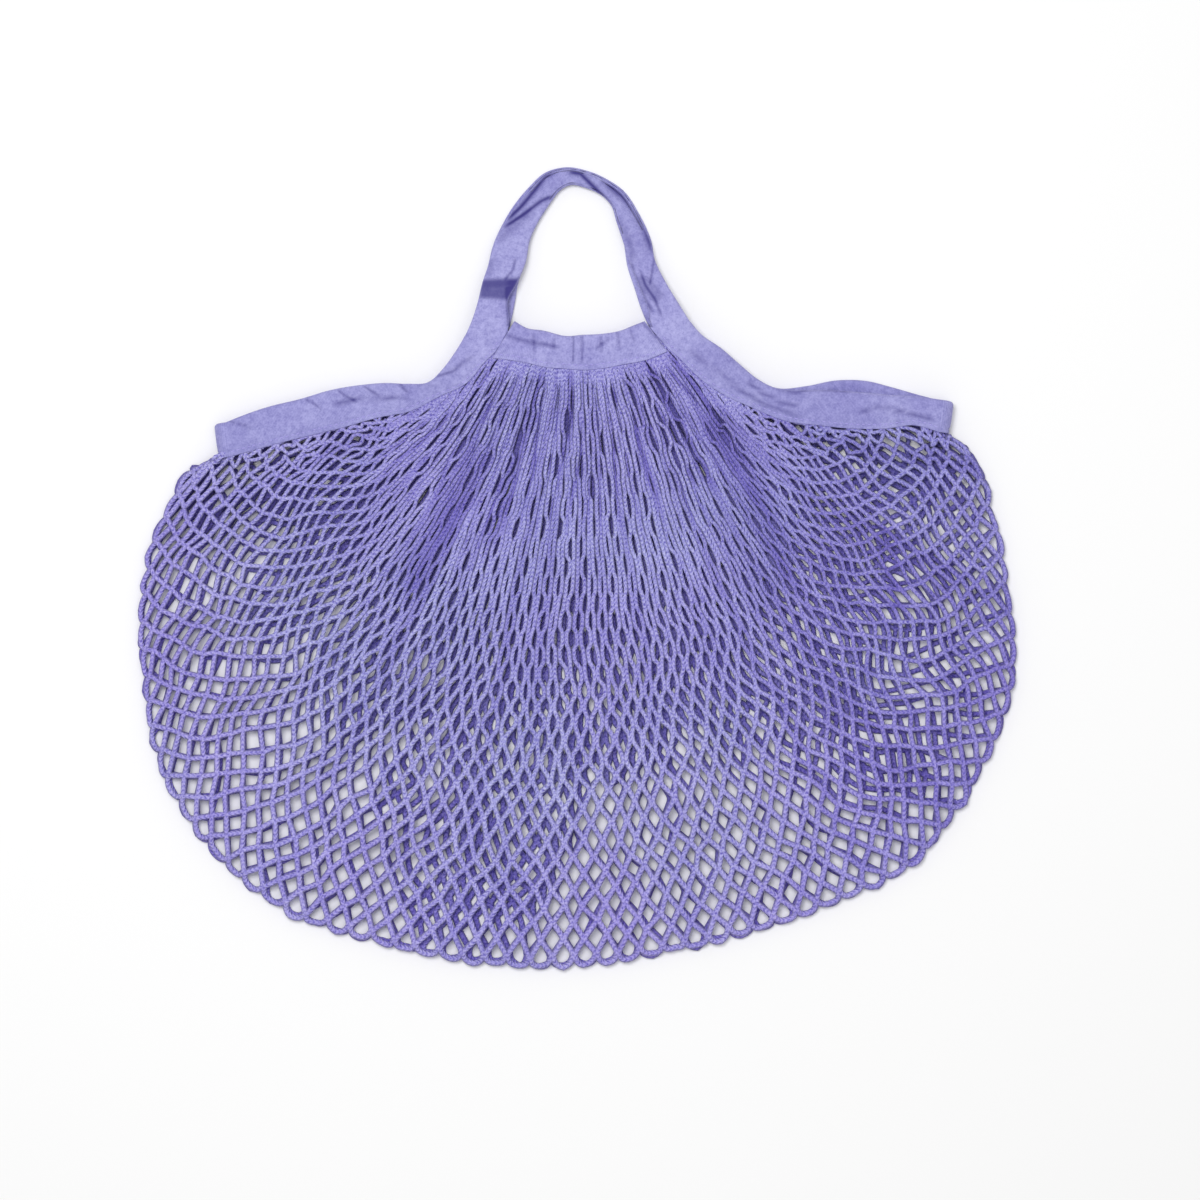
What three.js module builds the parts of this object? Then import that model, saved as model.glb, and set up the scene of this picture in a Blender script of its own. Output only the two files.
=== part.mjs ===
import * as THREE from 'three';

// A knitted string shopping bag with folded tape handles, lying flat on its back face.
// Lengths are in millimetres, +X is across the bag, +Y runs from the bottom to the handles, +Z is up.

// Overall size of the bag as it lies.
const bagWidth = 460;
const bagHeight = 418;

// Cloth and net thicknesses, and the small gaps that keep the pieces apart.
const tapePly = 1.0;
const netWall = 1.8;
const fitGap = 0.3;
const mouthGap = 4.4;
const strapThickness = 2.4;

// The coarse net: columns of diamonds across, half rows down, and the width of a cord.
const netColumns = 15;
const netHalfRows = 4;
const cordWidth = 5;
const gatherShare = 0.17;
const gatherRows = 3;
const pleatRise = 1.1;
const tightestMesh = 9;

// The folded margin round the net's outer edge.
const foldMargin = 14;
const meetingGap = 0.8;
const foldSteps = 54;
const foldEndShare = 0.6;
const foldEndSteps = 4;

// Where the net starts to sink from the binding's level to its own.
const sinkStart = 12.5;
const sinkLength = 26;

// How far the back handle lies inside the front one, and how strongly the tape's surface swells.
const backHandleInset = 3;
const tapeSwell = 0.35;
const stitchInset = 2.2;
const stitchGroove = 0.3;
const foldSetback = 2.3;

// Levels that follow from the thicknesses.
const slotHeight = netWall + 2 * fitGap;
const bindingThickness = slotHeight + 2 * tapePly;
const backBindingLevel = bindingThickness / 2;
const frontBindingLevel = bindingThickness * 1.5 + mouthGap;
const backNetLevel = netWall / 2;
const frontNetLevel = bindingThickness + mouthGap + netWall / 2 + 0.1;
const turnRadius = (frontBindingLevel - backBindingLevel) / 2;
const backStrapLevel = strapThickness / 2;
const frontStrapLevel = strapThickness * 1.5 + fitGap;

// Outline of the net from the left opening edge, round the bottom, to the right one.
const outlineRows = [
  { across: -0.406, up: 0.630 },
  { across: -0.431, up: 0.622 },
  { across: -0.448, up: 0.600 },
  { across: -0.463, up: 0.570 },
  { across: -0.476, up: 0.539 },
  { across: -0.488, up: 0.500 },
  { across: -0.495, up: 0.458 },
  { across: -0.497, up: 0.401 },
  { across: -0.494, up: 0.345 },
  { across: -0.484, up: 0.277 },
  { across: -0.452, up: 0.198 },
  { across: -0.393, up: 0.125 },
  { across: -0.320, up: 0.070 },
  { across: -0.245, up: 0.039 },
  { across: -0.143, up: 0.011 },
  { across: -0.019, up: 0.001 },
  { across: 0.083, up: 0.015 },
  { across: 0.197, up: 0.046 },
  { across: 0.293, up: 0.086 },
  { across: 0.378, up: 0.136 },
  { across: 0.435, up: 0.208 },
  { across: 0.469, up: 0.277 },
  { across: 0.493, up: 0.343 },
  { across: 0.499, up: 0.406 },
  { across: 0.489, up: 0.483 },
  { across: 0.478, up: 0.551 },
  { across: 0.460, up: 0.612 },
  { across: 0.437, up: 0.648 },
  { across: 0.420, up: 0.660 },
];

// The point that the folded margin is turned towards.
const hub = { across: 0, up: 0.55 };

// Cross-section of the folded margin, from the front face round the edge to the back face.
const foldProfile = [
  { inward: 1.0, height: 1.0 },
  { inward: 0.62, height: 0.95 },
  { inward: 0.30, height: 0.76 },
  { inward: 0.10, height: 0.46 },
  { inward: 0.065, height: 0.22 },
  { inward: 0.22, height: 0.03 },
  { inward: 1.0, height: 0.0 },
];

// Top and lower edge of the tape between the handle's feet.
const mouthRows = [
  { topAcross: -0.069, topUp: 0.804, lowAcross: -0.094, lowUp: 0.759 },
  { topAcross: -0.055, topUp: 0.796, lowAcross: -0.062, lowUp: 0.754 },
  { topAcross: -0.036, topUp: 0.793, lowAcross: -0.033, lowUp: 0.747 },
  { topAcross: -0.015, topUp: 0.787, lowAcross: -0.019, lowUp: 0.746 },
  { topAcross: 0.007, topUp: 0.788, lowAcross: 0.010, lowUp: 0.744 },
  { topAcross: 0.027, topUp: 0.789, lowAcross: 0.030, lowUp: 0.746 },
  { topAcross: 0.049, topUp: 0.793, lowAcross: 0.054, lowUp: 0.751 },
  { topAcross: 0.063, topUp: 0.799, lowAcross: 0.078, lowUp: 0.756 },
  { topAcross: 0.0755, topUp: 0.804, lowAcross: 0.1015, lowUp: 0.767 },
];

// Outer and inner edge of the left side tape, from the handle's foot to the turned end.
const leftRows = [
  { topAcross: -0.125, topUp: 0.789, lowAcross: -0.077, lowUp: 0.793 },
  { topAcross: -0.137, topUp: 0.767, lowAcross: -0.090, lowUp: 0.769 },
  { topAcross: -0.151, topUp: 0.746, lowAcross: -0.105, lowUp: 0.752 },
  { topAcross: -0.168, topUp: 0.729, lowAcross: -0.125, lowUp: 0.727 },
  { topAcross: -0.191, topUp: 0.726, lowAcross: -0.155, lowUp: 0.711 },
  { topAcross: -0.217, topUp: 0.727, lowAcross: -0.187, lowUp: 0.693 },
  { topAcross: -0.248, topUp: 0.724, lowAcross: -0.223, lowUp: 0.685 },
  { topAcross: -0.279, topUp: 0.719, lowAcross: -0.262, lowUp: 0.673 },
  { topAcross: -0.313, topUp: 0.707, lowAcross: -0.299, lowUp: 0.663 },
  { topAcross: -0.350, topUp: 0.697, lowAcross: -0.336, lowUp: 0.653 },
  { topAcross: -0.379, topUp: 0.687, lowAcross: -0.372, lowUp: 0.642 },
  { topAcross: -0.397, topUp: 0.678, lowAcross: -0.392, lowUp: 0.637 },
];

// Outer and inner edge of the right side tape, and how far its back run shows above the front one.
const rightRows = [
  { topAcross: 0.129, topUp: 0.804, lowAcross: 0.083, lowUp: 0.797, backShow: 0 },
  { topAcross: 0.142, topUp: 0.788, lowAcross: 0.099, lowUp: 0.776, backShow: 0 },
  { topAcross: 0.163, topUp: 0.772, lowAcross: 0.116, lowUp: 0.759, backShow: 0 },
  { topAcross: 0.183, topUp: 0.753, lowAcross: 0.140, lowUp: 0.733, backShow: 0 },
  { topAcross: 0.205, topUp: 0.733, lowAcross: 0.167, lowUp: 0.713, backShow: 0 },
  { topAcross: 0.228, topUp: 0.721, lowAcross: 0.199, lowUp: 0.697, backShow: 0.05 },
  { topAcross: 0.257, topUp: 0.719, lowAcross: 0.235, lowUp: 0.681, backShow: 0.15 },
  { topAcross: 0.290, topUp: 0.719, lowAcross: 0.274, lowUp: 0.675, backShow: 0.28 },
  { topAcross: 0.324, topUp: 0.716, lowAcross: 0.312, lowUp: 0.671, backShow: 0.32 },
  { topAcross: 0.355, topUp: 0.714, lowAcross: 0.350, lowUp: 0.671, backShow: 0.22 },
  { topAcross: 0.387, topUp: 0.713, lowAcross: 0.383, lowUp: 0.675, backShow: 0.06 },
  { topAcross: 0.414, topUp: 0.709, lowAcross: 0.409, lowUp: 0.668, backShow: 0 },
];

// Outer and inner edge of the handle loop, and how far each row is still held at the foot's level.
const handleRows = [
  { topAcross: -0.125, topUp: 0.789, lowAcross: -0.077, lowUp: 0.793, lift: 1.0 },
  { topAcross: -0.118, topUp: 0.807, lowAcross: -0.072, lowUp: 0.809, lift: 0.97 },
  { topAcross: -0.112, topUp: 0.828, lowAcross: -0.066, lowUp: 0.830, lift: 0.86 },
  { topAcross: -0.106, topUp: 0.852, lowAcross: -0.062, lowUp: 0.852, lift: 0.66 },
  { topAcross: -0.100, topUp: 0.874, lowAcross: -0.057, lowUp: 0.877, lift: 0.44 },
  { topAcross: -0.094, topUp: 0.903, lowAcross: -0.053, lowUp: 0.906, lift: 0.22 },
  { topAcross: -0.083, topUp: 0.930, lowAcross: -0.044, lowUp: 0.929, lift: 0.08 },
  { topAcross: -0.072, topUp: 0.950, lowAcross: -0.035, lowUp: 0.945, lift: 0 },
  { topAcross: -0.055, topUp: 0.973, lowAcross: -0.027, lowUp: 0.958, lift: 0 },
  { topAcross: -0.036, topUp: 0.994, lowAcross: -0.019, lowUp: 0.969, lift: 0 },
  { topAcross: -0.012, topUp: 1.000, lowAcross: -0.007, lowUp: 0.976, lift: 0 },
  { topAcross: 0.014, topUp: 0.995, lowAcross: 0.009, lowUp: 0.973, lift: 0 },
  { topAcross: 0.033, topUp: 0.986, lowAcross: 0.026, lowUp: 0.965, lift: 0 },
  { topAcross: 0.054, topUp: 0.971, lowAcross: 0.039, lowUp: 0.951, lift: 0 },
  { topAcross: 0.071, topUp: 0.941, lowAcross: 0.045, lowUp: 0.931, lift: 0.06 },
  { topAcross: 0.084, topUp: 0.909, lowAcross: 0.052, lowUp: 0.904, lift: 0.20 },
  { topAcross: 0.090, topUp: 0.879, lowAcross: 0.056, lowUp: 0.874, lift: 0.42 },
  { topAcross: 0.101, topUp: 0.854, lowAcross: 0.061, lowUp: 0.847, lift: 0.66 },
  { topAcross: 0.114, topUp: 0.830, lowAcross: 0.069, lowUp: 0.820, lift: 0.88 },
  { topAcross: 0.129, topUp: 0.804, lowAcross: 0.083, lowUp: 0.797, lift: 1.0 },
];

// Folds that run down the front face: where across the columns, from and to which row, and their rise.
const frontFolds = [
  { column: 0.22, from: 0.25, to: 0.95, spread: 0.045, rise: 1.2 },
  { column: 0.40, from: 0.15, to: 0.80, spread: 0.035, rise: 1.0 },
  { column: 0.60, from: 0.15, to: 0.85, spread: 0.035, rise: 1.2 },
  { column: 0.80, from: 0.25, to: 0.95, spread: 0.045, rise: 1.0 },
];

function place(across, up) {
  return new THREE.Vector2(across * bagWidth, up * bagHeight);
}

function smooth(from, to, value) {
  return THREE.MathUtils.smoothstep(value, from, to);
}

function lift(point, level) {
  return new THREE.Vector3(point.x, point.y, level);
}

// Top edge, lower edge and middle of a tape row.
function rowEdges(row) {
  const top = place(row.topAcross, row.topUp);
  const low = place(row.lowAcross, row.lowUp);
  const middle = top.clone().add(low).multiplyScalar(0.5);
  return { top, low, middle };
}

function middleLine(rows) {
  return rows.map((row) => rowEdges(row).middle);
}

function smoothCurve(points) {
  const spatial = points.map((point) => lift(point, 0));
  const curve = new THREE.CatmullRomCurve3(spatial, false, 'centripetal');
  curve.arcLengthDivisions = 600;
  return (share) => {
    const point = curve.getPointAt(THREE.MathUtils.clamp(share, 0, 1));
    return new THREE.Vector2(point.x, point.y);
  };
}

function distanceToLine(point, line) {
  let nearest = Infinity;
  for (let k = 1; k < line.length; k += 1) {
    const span = line[k].clone().sub(line[k - 1]);
    const reach = point.clone().sub(line[k - 1]).dot(span) / span.lengthSq();
    const foot = line[k - 1].clone().addScaledVector(span, THREE.MathUtils.clamp(reach, 0, 1));
    nearest = Math.min(nearest, foot.distanceTo(point));
  }
  return nearest;
}

function towardsHub(point) {
  return place(hub.across, hub.up).sub(point).normalize();
}

// The net is held along the two side tapes and the mouth tape.
const heldLines = [middleLine(leftRows), middleLine(rightRows), middleLine(mouthRows)];

function heldShare(point) {
  const nearest = Math.min(...heldLines.map((line) => distanceToLine(point, line)));
  return 1 - smooth(sinkStart, sinkStart + sinkLength, nearest);
}

// Outline points and the line where the faces meet the folded margin.
const outlinePoints = outlineRows.map((row) => place(row.across, row.up));
const outlineCurve = smoothCurve(outlinePoints);
const outlineSteps = Array.from({ length: foldSteps + 1 }, (_, step) => outlineCurve(step / foldSteps));
const meetingPoints = outlineSteps.map(
  (point) => point.clone().addScaledVector(towardsHub(point), foldMargin + meetingGap),
);

// Boundary curves of a net face: gathered top, left and right held edges, and the outer edge.
const leftHeld = middleLine(leftRows).slice(1, -1);
const rightHeld = middleLine(rightRows).slice(1, -1);
const gathered = [leftHeld[0], ...middleLine(mouthRows), rightHeld[0]];
const outer = [leftHeld[leftHeld.length - 1], ...meetingPoints, rightHeld[rightHeld.length - 1]];
const topCurve = smoothCurve(gathered);
const leftCurve = smoothCurve(leftHeld);
const rightCurve = smoothCurve(rightHeld);
const outerCurve = smoothCurve(outer);

// A point of the net, from its share across the columns and its share down the rows.
function netPoint(column, row) {
  const spread = Math.pow(row, 0.85);
  const point = topCurve(column).multiplyScalar(1 - spread);
  point.addScaledVector(outerCurve(column), spread);
  point.addScaledVector(leftCurve(row), 1 - column);
  point.addScaledVector(rightCurve(row), column);
  const corners = leftCurve(0).multiplyScalar((1 - column) * (1 - spread));
  corners.addScaledVector(rightCurve(0), column * (1 - spread));
  corners.addScaledVector(leftCurve(1), (1 - column) * spread);
  corners.addScaledVector(rightCurve(1), column * spread);
  return point.sub(corners);
}

function foldRise(column, row) {
  let rise = 0;
  for (const fold of frontFolds) {
    const across = (column - fold.column) / fold.spread;
    const along = smooth(fold.from, fold.from + 0.2, row) * (1 - smooth(fold.to - 0.2, fold.to, row));
    rise += fold.rise * Math.exp(-across * across) * along;
  }
  return rise;
}

// Gathers stand up as ridges below the tape and fade out down the face.
function pleat(column, row) {
  const ridge = 0.5 + 0.5 * Math.cos(column * netColumns * 2 * Math.PI);
  const fade = 1 - smooth(gatherShare * 0.8, gatherShare * 2.6, row);
  return pleatRise * ridge * fade;
}

function frontLevel(point, column, row) {
  const held = heldShare(point);
  const margin = 1 - smooth(0.93, 1, row);
  const relief = (pleat(column, row) + foldRise(column, row)) * (1 - held) * margin;
  return THREE.MathUtils.lerp(frontNetLevel, frontBindingLevel, held) + relief;
}

function backLevel(point) {
  return THREE.MathUtils.lerp(backNetLevel, backBindingLevel, heldShare(point));
}

// Moves a closed outline inwards by a distance given for each edge.
function insetOutline(points, distances) {
  const count = points.length;
  const lines = points.map((point, k) => {
    const next = points[(k + 1) % count];
    const along = next.clone().sub(point).normalize();
    const inward = new THREE.Vector2(-along.y, along.x);
    return { start: point.clone().addScaledVector(inward, distances[k]), along, inward };
  });
  return points.map((point, k) => {
    const before = lines[(k + count - 1) % count];
    const after = lines[k];
    const turn = before.along.cross(after.along);
    if (Math.abs(turn) < 0.08) {
      const inward = before.inward.clone().add(after.inward).normalize();
      const depth = (distances[(k + count - 1) % count] + distances[k]) / 2;
      return point.clone().addScaledVector(inward, depth);
    }
    const offset = after.start.clone().sub(before.start);
    const reach = offset.cross(after.along) / turn;
    return before.start.clone().addScaledVector(before.along, reach);
  });
}

// Builds a sheet of net from cells, each with a diamond gap, and a gathered strip above them.
function netSheet(levelOf) {
  const points = [];
  const faces = [];
  const known = new Map();

  function gridPoint(half, step) {
    const key = `${half.toFixed(3)} ${step.toFixed(3)}`;
    if (!known.has(key)) {
      const column = half / (2 * netColumns);
      const lattice = gatherShare + ((1 - gatherShare) * step) / netHalfRows;
      const row = step < 0 ? gatherShare * (1 + step / gatherRows) : lattice;
      const flat = netPoint(column, row);
      known.set(key, points.length);
      points.push(lift(flat, levelOf(flat, column, row)));
    }
    return known.get(key);
  }

  function subdivide(corners) {
    const ring = [];
    const border = [];
    corners.forEach((corner, k) => {
      const next = corners[(k + 1) % corners.length];
      const isBorder = corner.half === next.half || corner.step === next.step;
      const parts = isBorder && corner.step !== 0 ? 4 : 2;
      for (let part = 0; part < parts; part += 1) {
        const share = part / parts;
        const half = THREE.MathUtils.lerp(corner.half, next.half, share);
        const step = THREE.MathUtils.lerp(corner.step, next.step, share);
        ring.push(gridPoint(half, step));
        border.push(isBorder);
      }
    });
    return { ring, border };
  }

  function addCell(half, step, corners) {
    const { ring, border } = subdivide(corners);
    const flat = ring.map((index) => new THREE.Vector2(points[index].x, points[index].y));
    const xs = flat.map((point) => point.x);
    const isOpen = step > 0 && Math.max(...xs) - Math.min(...xs) > tightestMesh;
    if (!isOpen) {
      const centre = gridPoint(half, step);
      ring.forEach((index, k) => {
        const next = ring[(k + 1) % ring.length];
        if (index !== centre && next !== centre) {
          faces.push([index, next, centre]);
        }
      });
      return;
    }
    const depths = border.map((isBorder) => (isBorder ? cordWidth * 0.8 : cordWidth / 2));
    const gap = insetOutline(flat, depths).map((point, k) => {
      points.push(lift(point, points[ring[k]].z));
      return points.length - 1;
    });
    ring.forEach((index, k) => {
      const nextK = (k + 1) % ring.length;
      faces.push([index, ring[nextK], gap[nextK]]);
      faces.push([index, gap[nextK], gap[k]]);
    });
  }

  const lastHalf = 2 * netColumns;
  for (let step = -gatherRows; step < 0; step += 1) {
    for (let half = 0; half < lastHalf; half += 1) {
      const a = gridPoint(half, step);
      const b = gridPoint(half + 1, step);
      const c = gridPoint(half + 1, step + 1);
      const d = gridPoint(half, step + 1);
      faces.push([a, d, c]);
      faces.push([a, c, b]);
    }
  }
  for (let step = 0; step <= netHalfRows; step += 1) {
    for (let half = 0; half <= lastHalf; half += 1) {
      if ((half + step) % 2 === 0) {
        continue;
      }
      const corners = [
        { half, step: step - 1 },
        { half: half - 1, step },
        { half, step: step + 1 },
        { half: half + 1, step },
      ].filter((corner) => corner.step >= 0 && corner.step <= netHalfRows)
        .filter((corner) => corner.half >= 0 && corner.half <= lastHalf);
      addCell(half, step, corners);
    }
  }
  return { points, faces };
}

// Gives a sheet its thickness and closes it along every free edge.
function thickenSheet(sheet, wall) {
  const upper = sheet.points.map((point) => point.clone().setZ(point.z + wall / 2));
  const lower = sheet.points.map((point) => point.clone().setZ(point.z - wall / 2));
  const count = sheet.points.length;
  const triangles = [];
  const edges = new Map();
  for (const [a, b, c] of sheet.faces) {
    triangles.push([a, b, c]);
    triangles.push([a + count, c + count, b + count]);
    for (const [from, to] of [[a, b], [b, c], [c, a]]) {
      edges.set(`${from} ${to}`, [from, to]);
    }
  }
  for (const [from, to] of edges.values()) {
    if (!edges.has(`${to} ${from}`)) {
      triangles.push([to, from, from + count]);
      triangles.push([to, from + count, to + count]);
    }
  }
  return { points: [...upper, ...lower], triangles };
}

// Joins equal closed sections into one closed body.
function loftSections(sections, outline) {
  const count = sections[0].length;
  const points = sections.flat();
  const triangles = [];
  for (let row = 1; row < sections.length; row += 1) {
    for (let k = 0; k < count; k += 1) {
      const next = (k + 1) % count;
      const a = (row - 1) * count + k;
      const b = (row - 1) * count + next;
      const c = row * count + next;
      const d = row * count + k;
      triangles.push([a, b, c]);
      triangles.push([a, c, d]);
    }
  }
  const cap = THREE.ShapeUtils.triangulateShape(outline, []);
  const last = (sections.length - 1) * count;
  for (const [a, b, c] of cap) {
    triangles.push([c, b, a]);
    triangles.push([a + last, b + last, c + last]);
  }
  return { points, triangles };
}

// Folded tape, open along its lower edge, with a stitched groove and a soft swell.
function tapeOutline(width, swell) {
  const half = width / 2;
  const top = bindingThickness / 2;
  const slot = slotHeight / 2;
  const groove = swell > 0 ? stitchGroove : 0;
  return [
    [-half, top - groove * 0.5],
    [-half, slot],
    [half - foldSetback, slot],
    [half - foldSetback * 0.62, 0],
    [half - foldSetback, -slot],
    [-half, -slot],
    [-half, -top],
    [half - foldSetback, -top],
    [half, -top * 0.4],
    [half, top * 0.4],
    [half - foldSetback, top],
    [half * 0.2, top + swell],
    [-half + stitchInset * 1.8, top + swell * 0.4],
    [-half + stitchInset, top - groove],
  ].map(([across, out]) => new THREE.Vector2(across, out));
}

// Flat strap of two plies with rounded edges and a long crease.
function strapOutline(width) {
  const half = width / 2;
  const top = strapThickness / 2;
  const round = Math.min(1.4, width * 0.2);
  return [
    [-half, top * 0.4],
    [-half, -top * 0.4],
    [-half + round, -top],
    [half - round, -top],
    [half, -top * 0.4],
    [half, top * 0.4],
    [half - round, top],
    [half * 0.35, top],
    [half * 0.1, top - stitchGroove],
    [-half * 0.2, top],
    [-half + round, top],
  ].map(([across, out]) => new THREE.Vector2(across, out));
}

// Sets a section's outline up at a row: side points to the top edge, out is the tape's face.
function setSection(outline, middle, side, out) {
  return outline.map(
    (point) => middle.clone().addScaledVector(side, point.x).addScaledVector(out, point.y),
  );
}

function loftTape(stations, outlineOf) {
  const sections = stations.map((station) => {
    const outline = outlineOf(station.width, station.swell);
    return setSection(outline, station.middle, station.side, station.out);
  });
  return loftSections(sections, outlineOf(stations[0].width, stations[0].swell));
}

function tapeStation(top, low, level, out, swell) {
  const across = top.clone().sub(low);
  const middle = top.clone().add(low).multiplyScalar(0.5);
  const side = lift(across, 0).normalize();
  return { width: across.length(), middle: lift(middle, level), side, out, swell };
}

const upwards = new THREE.Vector3(0, 0, 1);
const downwards = new THREE.Vector3(0, 0, -1);

function swellAt(index) {
  return tapeSwell * (0.5 + 0.5 * Math.sin(index * 1.9));
}

// A straight tape at the mouth; its flat side faces down.
function mouthBinding(level, hasSwell) {
  const stations = mouthRows.map((row, index) => {
    const { top, low } = rowEdges(row);
    return tapeStation(top, low, level, upwards, hasSwell ? swellAt(index) : 0);
  });
  return loftTape(stations.reverse(), tapeOutline);
}

// A side tape: front run outwards, a turn round the net's edge, and the back run home.
function sideBinding(rows) {
  const edges = rows.map(rowEdges);
  const inward = edges[1].middle.clone().sub(edges[0].middle).normalize();
  edges[0].top.addScaledVector(inward, fitGap * 1.4);
  edges[0].low.addScaledVector(inward, fitGap * 1.4);
  const front = edges.map(
    (edge, index) => tapeStation(edge.top, edge.low, frontBindingLevel, upwards, swellAt(index)),
  );
  const last = front[front.length - 1];
  const outwards = new THREE.Vector3().crossVectors(last.side, upwards);
  const heading = last.middle.clone().sub(front[front.length - 2].middle);
  outwards.multiplyScalar(Math.sign(outwards.dot(heading)));
  const centre = last.middle.clone().setZ((frontBindingLevel + backBindingLevel) / 2);
  const turn = [0.25, 0.5, 0.75].map((share) => {
    const angle = share * Math.PI;
    const out = upwards.clone().multiplyScalar(Math.cos(angle));
    out.addScaledVector(outwards, Math.sin(angle));
    const middle = centre.clone().addScaledVector(out, turnRadius);
    return { width: last.width, middle, side: last.side, out, swell: 0 };
  });
  const back = edges.map((edge, index) => {
    const shift = edge.top.clone().sub(edge.low).multiplyScalar(rows[index].backShow ?? 0);
    const top = edge.top.clone().add(shift);
    const low = edge.low.clone().add(shift);
    return tapeStation(top, low, backBindingLevel, downwards, 0);
  }).reverse();
  return loftTape([...front, ...turn, ...back], tapeOutline);
}

// A handle loop; the back one lies a little inside the front one.
function handleLoop(footLevel, restLevel, inset) {
  const stations = handleRows.map((row) => {
    const { top, low } = rowEdges(row);
    const shift = low.clone().sub(top).normalize().multiplyScalar(inset * (1 - row.lift));
    const level = THREE.MathUtils.lerp(restLevel, footLevel, row.lift);
    return tapeStation(top.add(shift), low.add(shift), level, upwards, 0);
  });
  return loftTape(stations, strapOutline);
}

// The folded margin, swept round the outline and narrower where it runs in under the side tapes.
function netFold() {
  const depth = frontNetLevel - backNetLevel;
  const line = foldProfile.map(
    (row) => new THREE.Vector2(row.inward * foldMargin, backNetLevel + row.height * depth),
  );
  const normals = line.map((point, k) => {
    const before = line[Math.max(k - 1, 0)];
    const after = line[Math.min(k + 1, line.length - 1)];
    const along = after.clone().sub(before).normalize();
    return new THREE.Vector2(along.y, -along.x);
  });
  normals[0].set(0, 1);
  normals[line.length - 1].set(0, -1);
  const outside = line.map((point, k) => point.clone().addScaledVector(normals[k], netWall / 2));
  const inside = line.map((point, k) => point.clone().addScaledVector(normals[k], -netWall / 2));
  const outline = [...outside, ...inside.reverse()];
  const sections = [];
  for (const [step, edge] of outlineSteps.entries()) {
    const fromEnd = Math.min(step, foldSteps - step);
    const share = THREE.MathUtils.lerp(foldEndShare, 1, smooth(0, foldEndSteps, fromEnd));
    const inward = lift(towardsHub(edge).multiplyScalar(share), 0);
    sections.push(outline.map(
      (point) => lift(edge, point.y).addScaledVector(inward, point.x),
    ));
  }
  return loftSections(sections, outline);
}

function orientOutwards(body) {
  let volume = 0;
  for (const [a, b, c] of body.triangles) {
    const cross = new THREE.Vector3().crossVectors(body.points[b], body.points[c]);
    volume += body.points[a].dot(cross);
  }
  if (volume < 0) {
    body.triangles = body.triangles.map(([a, b, c]) => [a, c, b]);
  }
  return body;
}

const tapeLook = { color: 0xa29ed6, roughness: 0.92, metalness: 0 };
const netLook = { color: 0x8d83cb, roughness: 0.88, metalness: 0 };

function makeMesh(name, body, look) {
  const { points, triangles } = orientOutwards(body);
  const geometry = new THREE.BufferGeometry();
  geometry.setAttribute('position', new THREE.Float32BufferAttribute(
    points.flatMap((point) => point.toArray()),
    3,
  ));
  geometry.setIndex(triangles.flat());
  geometry.computeVertexNormals();
  const mesh = new THREE.Mesh(geometry, new THREE.MeshStandardMaterial(look));
  mesh.name = name;
  return mesh;
}

const bag = new THREE.Group();
bag.name = 'string_shopping_bag';
bag.add(makeMesh('net_front', thickenSheet(netSheet(frontLevel), netWall), netLook));
bag.add(makeMesh('net_back', thickenSheet(netSheet(backLevel), netWall), netLook));
bag.add(makeMesh('net_fold', netFold(), netLook));
bag.add(makeMesh('front_mouth_binding', mouthBinding(frontBindingLevel, true), tapeLook));
bag.add(makeMesh('back_mouth_binding', mouthBinding(backBindingLevel, false), tapeLook));
bag.add(makeMesh('left_side_binding', sideBinding(leftRows), tapeLook));
bag.add(makeMesh('right_side_binding', sideBinding(rightRows), tapeLook));
bag.add(makeMesh('front_handle', handleLoop(frontBindingLevel, frontStrapLevel, 0), tapeLook));
bag.add(makeMesh('back_handle', handleLoop(backBindingLevel, backStrapLevel, backHandleInset), tapeLook));

// The bag is set down with the middle of its base at the origin.
const box = new THREE.Box3().setFromObject(bag);
const centre = box.getCenter(new THREE.Vector3());
for (const mesh of bag.children) {
  mesh.geometry.translate(-centre.x, -centre.y, -box.min.z);
}

export default bag;
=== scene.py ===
# A knitted cotton string bag with folded tape handles, lying flat and seen from straight above.
import math
import bmesh
import bpy
import numpy as np
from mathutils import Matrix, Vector


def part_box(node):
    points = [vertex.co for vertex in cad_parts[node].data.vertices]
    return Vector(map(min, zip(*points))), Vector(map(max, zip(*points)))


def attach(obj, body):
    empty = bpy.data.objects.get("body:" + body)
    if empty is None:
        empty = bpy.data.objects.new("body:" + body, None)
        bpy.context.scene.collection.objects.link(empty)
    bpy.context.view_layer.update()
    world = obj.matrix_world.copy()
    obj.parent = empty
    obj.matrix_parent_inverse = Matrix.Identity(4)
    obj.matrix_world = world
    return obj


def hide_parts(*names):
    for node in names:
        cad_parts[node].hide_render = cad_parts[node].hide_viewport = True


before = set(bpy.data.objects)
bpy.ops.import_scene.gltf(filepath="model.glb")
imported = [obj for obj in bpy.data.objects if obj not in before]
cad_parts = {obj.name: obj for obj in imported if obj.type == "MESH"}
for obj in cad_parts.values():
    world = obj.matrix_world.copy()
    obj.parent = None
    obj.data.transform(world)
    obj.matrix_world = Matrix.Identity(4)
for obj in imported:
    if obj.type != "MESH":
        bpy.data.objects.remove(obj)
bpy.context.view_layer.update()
print("stage: frame loaded")

# overall size of the bag as it lies, metres; tables below give shares of these
bagWidth = 0.460
bagHeight = 0.418
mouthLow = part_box("front_mouth_binding")[0]
shift = np.array([mouthLow.x + 0.094 * bagWidth, mouthLow.y - 0.744 * bagHeight])

# levels above the table, metres
level = {
    "backTape": 0.0022,   # middle of the back bindings
    "frontTape": 0.0110,  # middle of the front bindings
    "backNet": 0.00115,
    "frontNet": 0.0088,
}

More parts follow.
